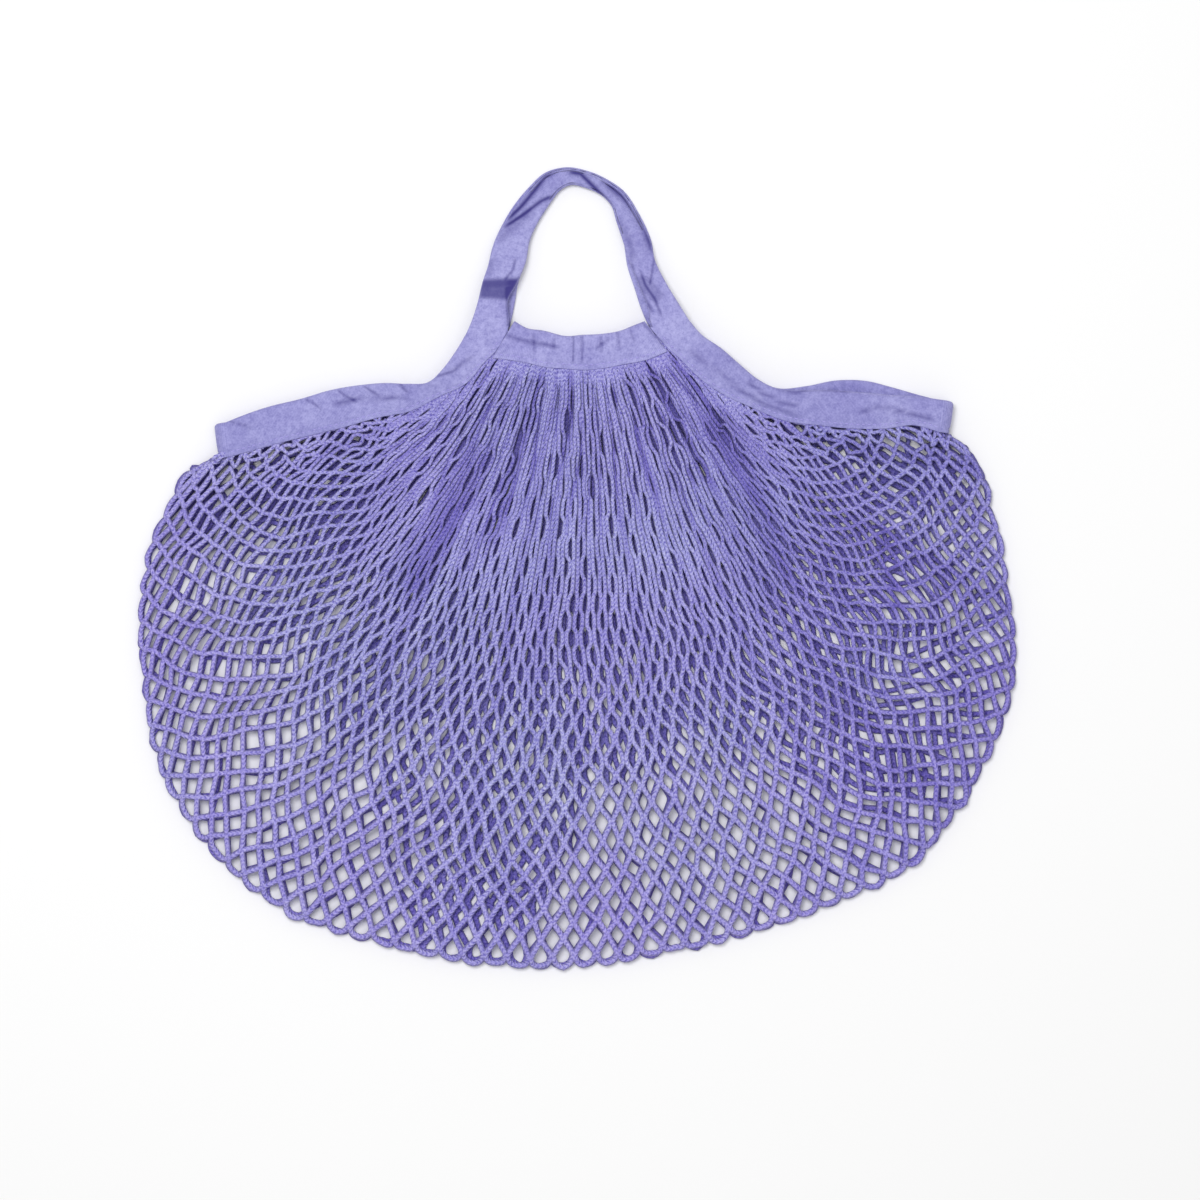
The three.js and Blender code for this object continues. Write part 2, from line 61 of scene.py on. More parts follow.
# the net's outer edge: across and up, from the left tape's end round the foot to the right one's
outlineRows = [
    (-0.406, 0.632), (-0.418, 0.627), (-0.434, 0.622), (-0.450, 0.600), (-0.464, 0.570), (-0.477, 0.539),
    (-0.488, 0.500), (-0.494, 0.458), (-0.496, 0.401), (-0.490, 0.345), (-0.480, 0.277), (-0.449, 0.198),
    (-0.393, 0.122), (-0.320, 0.065), (-0.245, 0.037), (-0.143, 0.010), (-0.019, 0.001), (0.083, 0.014),
    (0.197, 0.044), (0.293, 0.080), (0.381, 0.130), (0.439, 0.208), (0.472, 0.277), (0.493, 0.343),
    (0.497, 0.406), (0.487, 0.483), (0.476, 0.551), (0.461, 0.612), (0.439, 0.650), (0.420, 0.663),
]

# tape rows: across and up of the outer or top edge, then of the lower or inner edge
mouthRows = [
    (-0.070, 0.805, -0.095, 0.759), (-0.055, 0.796, -0.062, 0.754), (-0.036, 0.793, -0.033, 0.747),
    (-0.015, 0.787, -0.019, 0.746), (0.007, 0.788, 0.010, 0.744), (0.027, 0.789, 0.030, 0.746),
    (0.049, 0.793, 0.054, 0.751), (0.063, 0.799, 0.078, 0.756), (0.077, 0.805, 0.103, 0.767),
]
leftRows = [
    (-0.125, 0.789, -0.077, 0.793), (-0.137, 0.767, -0.090, 0.769), (-0.151, 0.746, -0.105, 0.752),
    (-0.168, 0.729, -0.125, 0.727), (-0.191, 0.727, -0.155, 0.711), (-0.217, 0.728, -0.187, 0.693),
    (-0.248, 0.725, -0.223, 0.685), (-0.279, 0.719, -0.262, 0.673), (-0.313, 0.708, -0.299, 0.663),
    (-0.350, 0.698, -0.336, 0.653), (-0.379, 0.687, -0.372, 0.642), (-0.397, 0.679, -0.392, 0.636),
]
rightRows = [
    (0.129, 0.804, 0.083, 0.797), (0.142, 0.788, 0.099, 0.776), (0.163, 0.772, 0.116, 0.759),
    (0.183, 0.753, 0.140, 0.733), (0.205, 0.733, 0.167, 0.713), (0.228, 0.721, 0.199, 0.697),
    (0.257, 0.719, 0.235, 0.681), (0.290, 0.719, 0.274, 0.675), (0.324, 0.716, 0.312, 0.671),
    (0.355, 0.713, 0.350, 0.671), (0.387, 0.711, 0.383, 0.675), (0.414, 0.707, 0.409, 0.667),
]
backShow = [0, 0, 0, 0, 0, 0.06, 0.16, 0.30, 0.35, 0.27, 0.10, 0]  # how far the right back run shows
# handle rows: outer edge, inner edge, and how far the row is still held at the foot's level
handleRows = [
    (-0.137, 0.768, -0.090, 0.769, 1.0),
    (-0.125, 0.789, -0.077, 0.793, 1.0), (-0.118, 0.807, -0.074, 0.809, 0.97),
    (-0.112, 0.828, -0.070, 0.830, 0.86), (-0.107, 0.852, -0.066, 0.852, 0.66),
    (-0.101, 0.874, -0.058, 0.877, 0.44), (-0.095, 0.903, -0.053, 0.906, 0.22),
    (-0.083, 0.930, -0.044, 0.929, 0.08), (-0.072, 0.950, -0.035, 0.945, 0),
    (-0.055, 0.973, -0.027, 0.958, 0), (-0.036, 0.992, -0.019, 0.969, 0),
    (-0.012, 0.999, -0.007, 0.976, 0), (0.014, 0.994, 0.009, 0.973, 0),
    (0.033, 0.985, 0.026, 0.965, 0), (0.054, 0.969, 0.039, 0.951, 0),
    (0.071, 0.941, 0.045, 0.931, 0.06), (0.085, 0.909, 0.052, 0.904, 0.20),
    (0.091, 0.879, 0.058, 0.874, 0.42), (0.101, 0.854, 0.066, 0.847, 0.66),
    (0.114, 0.830, 0.074, 0.820, 0.88), (0.129, 0.804, 0.083, 0.797, 1.0),
    (0.142, 0.788, 0.099, 0.776, 1.0),
]
strapDrawIn = {
    "front_strap": ([0.4, 0, 0, 0, 0, 0.2, 0.6, 1.2, 1.6, 1.8, 1.6, 1.2, 1.4, 1.8, 2.0, 1.8, 1.2, 0.5, 0, 0, 0, 0.4],
                    [0.4, 0.2, 1.2, 3.6, 0.8, 0, 0, 0, 0, 0, 0, 0, 0, 0, 0, 0, 0.5, 1.8, 2.6, 3.4, 1.2, 0.4]),
    "back_strap": ([0.8, 0.8, 0.8, 0.8, 0.8, 0.6, 0.3, 0, 0, 0, 0, 0, 0, 0, 0, 0, 0.3, 0.6, 0.8, 0.8, 0.8, 0.8],
                   [0.5, 0.5, 0, 0, 0.3, 0.8, 1.2, 1.5, 1.5, 1.5, 1.5, 1.5, 1.5, 1.5, 1.5, 1.5, 0.8, 0, 0, 0, 0.5, 0.5]),
}  # millimetres, outer edge then inner edge


def place(rows):
    rows = np.asarray(rows, float)
    return rows * [bagWidth, bagHeight] + shift


# a centripetal spline through the points, sampled evenly along its length
def smoothLine(points, count=1200):
    points = np.asarray(points, float)
    points = np.vstack([2 * points[0] - points[1], points, 2 * points[-1] - points[-2]])
    knots = np.concatenate([[0], np.cumsum(np.linalg.norm(np.diff(points, axis=0), axis=1) ** 0.5)])
    found = []
    for k in range(1, len(points) - 2):
        t0, t1, t2, t3 = knots[k - 1:k + 3]
        p0, p1, p2, p3 = points[k - 1:k + 3]
        t = np.linspace(t1, t2, 40, endpoint=False)[:, None]
        a1 = (t1 - t) / (t1 - t0) * p0 + (t - t0) / (t1 - t0) * p1
        a2 = (t2 - t) / (t2 - t1) * p1 + (t - t1) / (t2 - t1) * p2
        a3 = (t3 - t) / (t3 - t2) * p2 + (t - t2) / (t3 - t2) * p3
        b1 = (t2 - t) / (t2 - t0) * a1 + (t - t0) / (t2 - t0) * a2
        b2 = (t3 - t) / (t3 - t1) * a2 + (t - t1) / (t3 - t1) * a3
        found.append((t2 - t) / (t2 - t1) * b1 + (t - t1) / (t2 - t1) * b2)
    line = np.vstack(found + [points[-2:-1]])
    along = np.concatenate([[0], np.cumsum(np.linalg.norm(np.diff(line, axis=0), axis=1))])
    even = np.linspace(0, along[-1], count)
    return np.stack([np.interp(even, along, line[:, k]) for k in range(line.shape[1])], axis=1)


def onLine(line, share):
    at = np.linspace(0, 1, len(line))
    return np.stack([np.interp(share, at, line[:, k]) for k in range(line.shape[1])], axis=-1)


def smoothStep(low, high, value):
    t = np.clip((value - low) / (high - low), 0, 1)
    return t * t * (3 - 2 * t)


# soft irregular waves of about that size, between -1 and 1, the same on every run
def ripple(points, size, seed, waves=7):
    rng = np.random.default_rng(seed)
    total = np.zeros(points.shape[:-1])
    for _ in range(waves):
        angle, phase = rng.uniform(0, 2 * math.pi, 2)
        step = size * rng.uniform(0.7, 1.6)
        total += np.sin((points[..., 0] * math.cos(angle) + points[..., 1] * math.sin(angle)) / step * 2 * math.pi + phase)
    return total / waves ** 0.5 * 0.8


# distance to a polyline, the side of it, and the share along it
def nearLine(points, line):
    line = np.asarray(line, float)
    best = np.full(points.shape[:-1], 1e9)
    side = np.zeros(points.shape[:-1])
    share = np.zeros(points.shape[:-1])
    lengths = np.linalg.norm(np.diff(line, axis=0), axis=1)
    total = lengths.sum()
    done = 0.0
    for k in range(len(line) - 1):
        span = line[k + 1] - line[k]
        offset = points - line[k]
        reach = (offset @ span) / (span @ span)
        held = np.clip(reach, 0, 1)
        gap = offset - held[..., None] * span
        distance = np.linalg.norm(gap, axis=-1)
        nearer = distance < best
        cross = span[0] * offset[..., 1] - span[1] * offset[..., 0]
        side = np.where(nearer, np.sign(cross), side)
        share = np.where(nearer, (done + reach * lengths[k]) / total, share)
        best = np.where(nearer, distance, best)
        done += lengths[k]
    return best, side, share


def edgesOf(rows):
    rows = np.asarray(rows, float)
    return place(rows[:, 0:2]), place(rows[:, 2:4])


def middleOf(rows):
    top, low = edgesOf(rows)
    return (top + low) / 2


def linkObject(name, data):
    obj = bpy.data.objects.new(name, data)
    bpy.context.scene.collection.objects.link(obj)
    return obj


# a node with its settings, and for each input a value, or the socket or node that feeds it
def addNode(tree, kind, inputs=(), **settings):
    node = tree.nodes.new(kind)
    for name, value in settings.items():
        setattr(node, name, value)
    for name, value in inputs:
        if isinstance(value, bpy.types.Node):
            value = value.outputs[0]
        if isinstance(value, bpy.types.NodeSocket):
            tree.links.new(value, node.inputs[name])
        else:
            node.inputs[name].default_value = value
    return node


def newMaterial(name, values):
    material = bpy.data.materials.new(name)
    material.use_nodes = True
    tree = material.node_tree
    shader = tree.nodes["Principled BSDF"]
    for socket, value in [("Specular IOR Level", 0.25), *values]:
        shader.inputs[socket].default_value = value
    return material, tree, shader


def mathNode(tree, kind, first, second=None):
    inputs = [(0, first)] if second is None else [(0, first), (1, second)]
    return addNode(tree, "ShaderNodeMath", inputs, operation=kind).outputs[0]


# two values, each times its share, added up
def sumNode(tree, first, firstShare, second, secondShare):
    return mathNode(tree, "ADD", mathNode(tree, "MULTIPLY", first, firstShare), mathNode(tree, "MULTIPLY", second, secondShare))


def rampNode(tree, value, stops):
    node = addNode(tree, "ShaderNodeValToRGB", [(0, value)])
    ramp = node.color_ramp
    while len(ramp.elements) < len(stops):
        ramp.elements.new(0.5)
    for element, (position, colour) in zip(ramp.elements, stops):
        element.position = position
        element.color = (*colour, 1)
    return node.outputs[0]


# the colours go in at sockets 6 and 7 of the node and come out at 2
def mixColour(tree, kind, share, first, second):
    first, second = ((*value, 1) if isinstance(value, tuple) else value for value in (first, second))
    inputs = [(0, share), (6, first), (7, second)]
    return addNode(tree, "ShaderNodeMix", inputs, data_type="RGBA", blend_type=kind).outputs[2]


def tint(tree, base, colour, share=1.0):
    return mixColour(tree, "MULTIPLY", share, base, colour)


def bagCoords(tree):
    return addNode(tree, "ShaderNodeTexCoord").outputs["Object"]


def noiseNode(tree, scale, detail):
    inputs = [("Scale", scale), ("Detail", detail), ("Vector", bagCoords(tree))]
    return addNode(tree, "ShaderNodeTexNoise", inputs).outputs["Fac"]


# distance from a point of the bag
def distanceNode(tree, centre):
    return addNode(tree, "ShaderNodeVectorMath", [(0, bagCoords(tree)), (1, centre)], operation="DISTANCE").outputs["Value"]


def attribute(tree, name):
    return addNode(tree, "ShaderNodeAttribute", attribute_name=name).outputs["Fac"]


# heights are (value, strength, distance) laid one on another
def bumpNode(tree, shader, heights):
    normal = None
    for value, strength, distance in heights:
        inputs = [("Strength", strength), ("Distance", distance), ("Height", value)]
        if normal is not None:
            inputs.append(("Normal", normal))
        normal = addNode(tree, "ShaderNodeBump", inputs).outputs[0]
    tree.links.new(normal, shader.inputs["Normal"])


# knitted cord: chain stitches run along it, with painted shade between the loops
cordLook = {
    "light": (0.530, 0.530, 0.840),
    "middle": (0.343, 0.336, 0.685),
    "deep": (0.135, 0.115, 0.450),
    "stitch": 0.0024,     # length of one chain stitch
    "slant": 0.8,         # how far a loop leans round the cord
    # tone of the cord, a random tone of its line darkened by painted shade, and what it does to the colour: from the
    # deepest painted shade in the folds to full light
    "depth": [(0.0, (0.17, 0.15, 0.33)), (0.38, (0.50, 0.44, 0.74)), (0.7, (0.90, 0.88, 0.96)), (1.0, (1.04, 1.04, 1.0))],
    "roughness": 0.85,
}


def cordMaterial():
    material, tree, shader = newMaterial("knitted cord", [
        ("Roughness", cordLook["roughness"]), ("Sheen Weight", 0.25), ("Sheen Roughness", 0.5), ("Sheen Tint", (0.75, 0.72, 1.0, 1)),
    ])
    along, around, toneAndShade = (attribute(tree, name) for name in ("along", "around", "toneAndShade"))
    twice = mathNode(tree, "FRACT", mathNode(tree, "MULTIPLY", around, 2.0))
    fold = mathNode(tree, "ABSOLUTE", mathNode(tree, "SUBTRACT", twice, 0.5))
    lean = mathNode(tree, "MULTIPLY", fold, cordLook["slant"] * 2)
    turns = mathNode(tree, "ADD", mathNode(tree, "DIVIDE", along, cordLook["stitch"]), lean)
    wave = mathNode(tree, "SINE", mathNode(tree, "MULTIPLY", turns, 2 * math.pi))
    stitch = mathNode(tree, "ADD", mathNode(tree, "MULTIPLY", wave, 0.5), 0.5)
    seam = mathNode(tree, "POWER", mathNode(tree, "MULTIPLY", fold, 2.0), 0.6)
    height = mathNode(tree, "MULTIPLY", stitch, mathNode(tree, "ADD", mathNode(tree, "MULTIPLY", seam, 0.6), 0.4))
    fibre = noiseNode(tree, 950, 4)
    # the colour follows the stitch relief and the fibre speckle: painted shade between the loops and a painted
    # highlight on their tops
    value = sumNode(tree, height, 0.40, fibre, 1.05)
    colour = rampNode(tree, value, [(0.36, cordLook["deep"]), (0.58, cordLook["middle"]), (0.86, cordLook["light"])])
    # the painted shade in the tone darkens the colour
    colour = tint(tree, colour, rampNode(tree, toneAndShade, cordLook["depth"]))
    # the colour is a little deeper and more violet towards the outer edge
    richer = rampNode(tree, distanceNode(tree, (0.0, 0.06, 0.0)), [(0.17, (1.0, 1.0, 1.0)), (0.25, (0.94, 0.87, 1.0))])
    colour = tint(tree, colour, richer)
    colour = tint(tree, colour, rampNode(tree, noiseNode(tree, 11, 2), [(0.38, (0.98, 1.0, 1.0)), (0.62, (0.95, 0.91, 1.0))]))
    blotch = rampNode(tree, noiseNode(tree, 55, 3), [(0.3, (0.82, 0.80, 0.9)), (0.7, (1.08, 1.08, 1.06))])
    tree.links.new(tint(tree, colour, blotch, 0.6), shader.inputs["Base Color"])
    bumpNode(tree, shader, [(height, 0.9, 0.0006), (fibre, 0.35, 0.0002)])
    return material


# woven cotton tape: a fine rib across it, mottled by the dye, with painted shade along its creases and on the tape away
# from the mouth
tapeLook = {
    "light": (0.455, 0.448, 0.790),
    "middle": (0.225, 0.218, 0.510),
    "shade": (0.050, 0.042, 0.215),
    "thread": 0.00075,
    "roughness": 0.9,
}


def tapeMaterial():
    material, tree, shader = newMaterial("woven tape", [
        ("Roughness", tapeLook["roughness"]), ("Sheen Weight", 0.2), ("Sheen Tint", (0.8, 0.78, 1.0, 1)),
    ])
    uv = addNode(tree, "ShaderNodeUVMap", uv_map="weave")
    split = addNode(tree, "ShaderNodeSeparateXYZ", [(0, uv.outputs[0])])
    warp, weft = (mathNode(tree, "SINE", mathNode(tree, "MULTIPLY", split.outputs[k], 2 * math.pi / (tapeLook["thread"] * size)))
                  for k, size in ((0, 1), (1, 0.8)))
    weave = mathNode(tree, "ADD", mathNode(tree, "MULTIPLY", mathNode(tree, "MULTIPLY", warp, weft), 0.25),
                     mathNode(tree, "ADD", mathNode(tree, "MULTIPLY", warp, 0.15), 0.5))
    slub, dye, grain, crumple = (noiseNode(tree, scale, detail) for scale, detail in ((420, 4), (38, 4), (1100, 3), (130, 3)))
    value = sumNode(tree, sumNode(tree, slub, 0.55, grain, 0.45), 0.75, weave, 0.28)
    colour = rampNode(tree, value, [(0.34, tapeLook["middle"]), (0.66, tapeLook["light"])])
    colour = tint(tree, colour, rampNode(tree, dye, [(0.32, (0.72, 0.70, 0.84)), (0.68, (1.0, 1.0, 1.0))]), 0.8)
    # painted shade: the tape further from the middle of the mouth tape is painted a little darker than the mouth tape
    shadeAwayFromMouth = rampNode(tree, distanceNode(tree, (0.0, 0.105, 0.008)), [(0.055, (1.0, 1.0, 1.0)), (0.085, (0.87, 0.87, 0.92))])
    colour = tint(tree, tint(tree, colour, shadeAwayFromMouth), (1.07, 1.07, 1.02))
    # painted shade along the creases and in the darker patches
    shadeShare = mathNode(tree, "MINIMUM", attribute(tree, "paintedTapeShade"), 1.0)
    tree.links.new(mixColour(tree, "MIX", shadeShare, colour, tapeLook["shade"]), shader.inputs["Base Color"])
    bumpNode(tree, shader, [(weave, 0.5, 0.00025), (slub, 0.3, 0.0003), (crumple, 0.45, 0.0012), (dye, 0.5, 0.0025)])
    return material


def threadMaterial():
    material, tree, shader = newMaterial("sewing thread", [("Roughness", 0.7)])
    fibre = noiseNode(tree, 1800, 3)
    tree.links.new(rampNode(tree, fibre, [(0.3, (0.33, 0.29, 0.68)), (0.7, (0.50, 0.46, 0.84))]), shader.inputs["Base Color"])
    bumpNode(tree, shader, [(fibre, 0.4, 0.0002)])
    return material


cordCloth = cordMaterial()
tapeCloth = tapeMaterial()
threadCloth = threadMaterial()
print("stage: materials")

# the net: columns of diamonds from the gathers to the outer edge
net = {
    "columns": 68,
    "halfRows": 34,
    "strandSteps": 6,      # points along one strand
    "rimSteps": [0, 0.25, 0.45, 0.62, 0.76, 0.87, 0.95, 1.0],
    "cordRadius": 0.00119,
    "sides": 6,
    "flatShare": (0.30, 0.05),  # share of a strand that lies against its neighbour, in narrow and in wide cells
    "rounding": (0.45, 0.10),      # 0 for straight strands, 1 for soft S-shaped ones
    "topPitch": 1.07,      # row pitch at the gathers against the mean
    "lastPitch": 0.60,     # the edge loops against a full half row
    "spreadPower": 0.80,   # how soon the columns part below the gathers
    "edgeShift": -0.10,    # the edge loops sit closer at the two sides than at the foot if above 0, wider if below
    "sideDrop": 0.45,      # how soon the outermost columns fall below the side tapes
    "sway": 0.0021,        # how far the cells stray together from their even lines
    "upperShade": 0.15,    # how much deeper the gathered half looks
    "sideSlim": 0.14,      # how much slimmer the cords are at the two sides
    "slack": 0.0100,       # real length of a strand
    "wander": 0.42,        # how far the knots of the gathers stray sideways, in columns
    "pleats": 34,          # every second column is tucked under
    # tone of each line, at random within its range; the back face's lower range is painted shade
    "tonesAndShade": {"front": (0.68, 1.0), "back": (0.30, 0.50)},
    "knotStray": (0.00015, 0.00045),  # how far each knot strays, at the gathers and more where the net is open
    "drift": {"front": 0.0018, "back": 0.0034},  # how far each face drifts by itself
    "knotLift": 0.00045,   # how far each knot of the front strays up or down
    "waves": {"front": 0.0008, "back": 0.0005},  # height of the wide waves of each face
    "curl": 0.0015,        # how far slack strands curl under the side tapes
    "backRise": 0.0028,    # how much higher the back face lies under the gathers
    "backSwell": 0.40,     # how much thicker the crowded cords of the back look beside the side tapes
    "rightShade": 0.32,    # how much deeper the right side lies in the shade
    "joinGap": (0.30, 0.54),  # gap between two cords at a join in cord radii, and how much more in slim cells
    "joinShare": (0.05, 0.42),  # least and most of that gap, as a share of the column's width
    "backShort": 0.012,    # how much shorter the back face is than the front one
    "backEdgeRise": 0.0012,  # how much the back face rises at the folded edge
    "pleatShade": 0.80,    # how dark the bottom of a pleat is
    # a valley as deep as this gets full painted shade
    "fullShadeDepth": 0.0048,   # a valley as deep as this would be fully dark
    "backShade": (0.5, 0.45),  # how dark the back face is under the gathers and beside the side tapes
    "crossRise": 0.00022,  # half the height between two cords that cross
    "tuck": 0.80,          # how much of the width the upper columns take
    "pleatRise": 0.0025,
    "margin": 0.014,       # width of the folded edge
    "heldReach": (0.0118, 0.0290),  # from a tape's middle: the net is held flat so far, and is free from there
}
# column share, and the row share from which the two faces start to coincide there
alignFrom = np.array([(0.0, 0.50), (0.33, 0.52), (0.39, 0.82), (0.46, 0.82), (0.51, 0.52), (0.66, 0.52), (0.74, 0.80), (1.0, 0.80)])
# row share, and the cord's thickness there against the mean
cordSwell = np.array([(0.0, 0.88), (0.06, 0.88), (0.25, 1.0), (0.50, 1.08), (0.80, 1.29), (1.0, 1.36)])
marginRise = np.array([(0.0, 0.34), (0.10, 0.46), (0.30, 0.74), (0.62, 0.93), (1.0, 1.0)])

# deeper valleys between the gathers: column, first and last row, half width in columns, depth
valleys = [
    (0.182, 0.02, 0.12, 0.8, 0.0016), (0.232, 0.02, 0.18, 0.8, 0.0018), (0.362, 0.02, 0.30, 1.0, 0.0022),
    (0.476, 0.02, 0.15, 0.8, 0.0014), (0.668, 0.03, 0.16, 0.8, 0.0016), (0.754, 0.02, 0.22, 0.9, 0.0022),
    (0.850, 0.03, 0.24, 1.0, 0.0024), (0.958, 0.03, 0.18, 0.9, 0.0018),
]
# wide soft folds of the front face: half width, depth, shade, points
broadFolds = [
    (0.009, 0.0024, 0.42, [(-0.130, 0.600), (-0.156, 0.542), (-0.177, 0.506), (-0.194, 0.458)]),
    (0.009, 0.0026, 0.42, [(0.140, 0.698), (0.183, 0.626), (0.216, 0.555), (0.249, 0.459)]),
    (0.008, 0.0018, 0.60, [(0.346, 0.560), (0.368, 0.435)]),
    (0.007, 0.0016, 0.35, [(-0.109, 0.657), (-0.138, 0.582), (-0.155, 0.532)]),
]

outlineLine = smoothLine(place([(-0.392, 0.658)] + outlineRows + [(0.409, 0.688)]))
leftHeld = smoothLine(np.vstack([middleOf(leftRows)[1:-1], outlineLine[:1]]))
rightHeld = smoothLine(np.vstack([middleOf(rightRows)[1:-1], outlineLine[-1:]]))
gatherLine = smoothLine(np.vstack([leftHeld[:1], middleOf(mouthRows), rightHeld[:1]]))
heldLines = [middleOf(leftRows), middleOf(rightRows), middleOf(mouthRows)]


# where a column ends on the outer edge, as a share of the edge's length
def edgeShare(column):
    return column - net["edgeShift"] * np.sin(2 * math.pi * column) / (2 * math.pi)


# a point of the net from its share across the columns and down the rows
def netPlace(column, row):
    outer = 1 - smoothStep(0.0, 0.5, np.minimum(column, 1 - column))
    spread = np.stack([row ** net["spreadPower"], row + row * (1 - row) * net["sideDrop"] * outer], axis=-1)
    across = column[..., None]
    point = onLine(gatherLine, column) * (1 - spread) + onLine(outlineLine, edgeShare(column)) * spread
    point += onLine(leftHeld, row) * (1 - across) + onLine(rightHeld, row) * across
    point -= (leftHeld[0] * (1 - across) + rightHeld[0] * across) * (1 - spread)
    point -= (leftHeld[-1] * (1 - across) + rightHeld[-1] * across) * spread
    return point


def heldShare(points):
    nearest = np.full(points.shape[:-1], 1e9)
    for line in heldLines:
        nearest = np.minimum(nearest, nearLine(points, line)[0])
    return 1 - smoothStep(*net["heldReach"], nearest)


def rowShares():
    pitch = net["topPitch"] - (net["topPitch"] - 1) * 2 * np.arange(net["halfRows"]) / (net["halfRows"] - 1)
    pitch[-1] *= net["lastPitch"]
    return np.concatenate([[0], np.cumsum(pitch)]) / pitch.sum()


# centre lines of one face's cords: a list of cord pairs, each point with x, y, z, thickness and how deep in painted
# shade it lies
def netCords(side):
    isFront = side == "front"
    rng = np.random.default_rng(11 if isFront else 23)
    columns, halfRows, steps = net["columns"], net["halfRows"], net["strandSteps"]
    rows = rowShares()
    cordIndex = np.arange(2 * columns)[:, None]
    evenSteps = np.arange((halfRows - 1) * steps) / steps
    fine = np.concatenate([evenSteps, halfRows - 1 + np.array(net["rimSteps"])])[None, :]
    rowIndex = np.minimum(fine.astype(int), halfRows - 1)
    within = fine - rowIndex
    rowAt = np.interp(fine, np.arange(halfRows + 1), rows) + np.zeros(cordIndex.shape)
    left = netPlace(cordIndex / (2 * columns) + 0 * rowAt, rowAt)
    right = netPlace((cordIndex + 1) / (2 * columns) + 0 * rowAt, rowAt)
    halfWidth = np.linalg.norm(right - left, axis=-1)
    fromSide = np.minimum(cordIndex, 2 * columns - 1 - cordIndex) / (2 * columns)
    thick = np.interp(rowAt, *cordSwell.T) * (1 - net["sideSlim"] * (1 - smoothStep(0.10, 0.36, fromSide)))

    # slim cells have rounded strands that lie together at the joins, wide ones straight strands
    low = np.clip(rowAt + 0.01, 0.02, 1)
    centre = (cordIndex + 0.5) / (2 * columns) + 0 * rowAt
    halfRow = np.linalg.norm(netPlace(centre, low) - netPlace(centre, low - 0.02), axis=-1) / 0.02 / halfRows
    slim = 1 - smoothStep(0.32, 0.62, halfWidth / halfRow)
    flat = net["flatShare"][1] + (net["flatShare"][0] - net["flatShare"][1]) * slim
    rounding = net["rounding"][1] + (net["rounding"][0] - net["rounding"][1]) * slim
    straight = np.clip((within - flat) / (1 - 2 * flat), 0, 1)
    swing = straight + (smoothStep(0, 1, straight) - straight) * rounding
    atRim = rowIndex == halfRows - 1
    arc = 1 - np.sqrt(1 - np.clip((within - flat) / (1 - flat), 0, 1) ** 2)
    swing = np.where(atRim, arc, swing)
    startSign = np.where((cordIndex + rowIndex) % 2 == 0, 1.0, -1.0)
    sign = startSign * (1 - 2 * swing)

    # the width of a column decides how close two cords come at a join
    wideGap, slimGap = net["joinGap"]
    shareApart = np.clip(net["cordRadius"] * thick * (wideGap + slimGap * slim) / np.maximum(halfWidth, 1e-5), *net["joinShare"])
    shareApart = shareApart * np.where(atRim, 1 - smoothStep(0.5, 1, within), 1)
    column = (cordIndex + 0.5 + sign * (0.5 - shareApart)) / (2 * columns)

    # each knot strays a little and takes its strands along
    knots = rng.normal(0, 1, (4, 2 * columns + 1, halfRows + 1))
    knots[3, :, 1:-1] = knots[3, :, 1:-1] * 0.7 + knots[3, :, :-2] * 0.35 + knots[3, :, 2:] * 0.35
    fromKnot = np.clip(np.round(cordIndex + 0.5 + startSign * 0.5).astype(int), 0, 2 * columns)
    toKnot = np.clip(np.round(cordIndex + 0.5 - startSign * 0.5).astype(int), 0, 2 * columns)
    stray = knots[:, fromKnot, rowIndex] * (1 - swing) + knots[:, toKnot, rowIndex + 1] * swing
    lift, wander = stray[2], stray[3]
    loose = smoothStep(0.0, 0.04, rowAt) * np.clip(np.minimum(column, 1 - column) * 25, 0, 1)
    column = column + wander * net["wander"] / (2 * columns) * (1 - smoothStep(0.10, 0.42, rowAt)) * loose

    parted = 1 - smoothStep(0, 0.24, rowAt - np.interp(column, *alignFrom.T))

    # the gathers bunch the cords into ridges
    bunch = ripple(np.stack([column * 0.9, rowAt * 0.40], axis=-1), 0.10, 31)
    phase = (column * net["pleats"] + 0.25 + bunch * 0.45) * 2 * math.pi
    gathered = 1 - smoothStep(0.08, 0.34, rowAt)
    if isFront:
        column = column - np.sin(phase) * net["tuck"] / (2 * math.pi * net["pleats"]) * gathered * smoothStep(0.0, 0.05, rowAt)
    else:
        # the back face lies half a mesh off the front one, except at the edge they share
        column = column + 0.5 / columns * parted * smoothStep(0.0, 0.1, rowAt)

    sunk = np.zeros_like(column)
    for at, begin, end, width, depth in valleys if isFront else ():
        away = (column - at) * columns
        soft = smoothStep(begin - 0.01, begin + 0.02, rowAt) * (1 - smoothStep(end - 0.06, end + 0.05, rowAt))
        column = column + away * 0.35 / columns * np.exp(-(away / (width * 1.3)) ** 2) * soft
        sunk += depth * np.exp(-(away / (width * 0.7)) ** 2) * soft

    shortening = 1 if isFront else 1 - net["backShort"] * smoothStep(0.3, 0.6, rowAt) * parted
    point = netPlace(np.clip(column, 0, 1), rowAt * shortening)
    openness = smoothStep(0.12, 0.7, rowAt)
    closedStray, openStray = net["knotStray"]
    point = point + np.moveaxis(stray[:2], 0, -1) * (closedStray + openStray * openness)[..., None]
    drift = np.stack([ripple(point, 0.055, 5 + isFront), ripple(point, 0.05, 9 + isFront)], axis=-1)
    fade = (openness * parted)[..., None]
    point = point + drift * net["drift"][side] * fade
    # both faces sway together, so holes that coincide go on doing so
    sway = np.stack([ripple(point, 0.042, 41), ripple(point, 0.038, 43)], axis=-1)
    sides = 1 - smoothStep(0.15, 0.42, np.minimum(column, 1 - column))
    point = point + sway * (net["sway"] * (0.45 + 0.55 * sides) * openness * (1 - smoothStep(0.86, 1.0, rowAt)))[..., None]

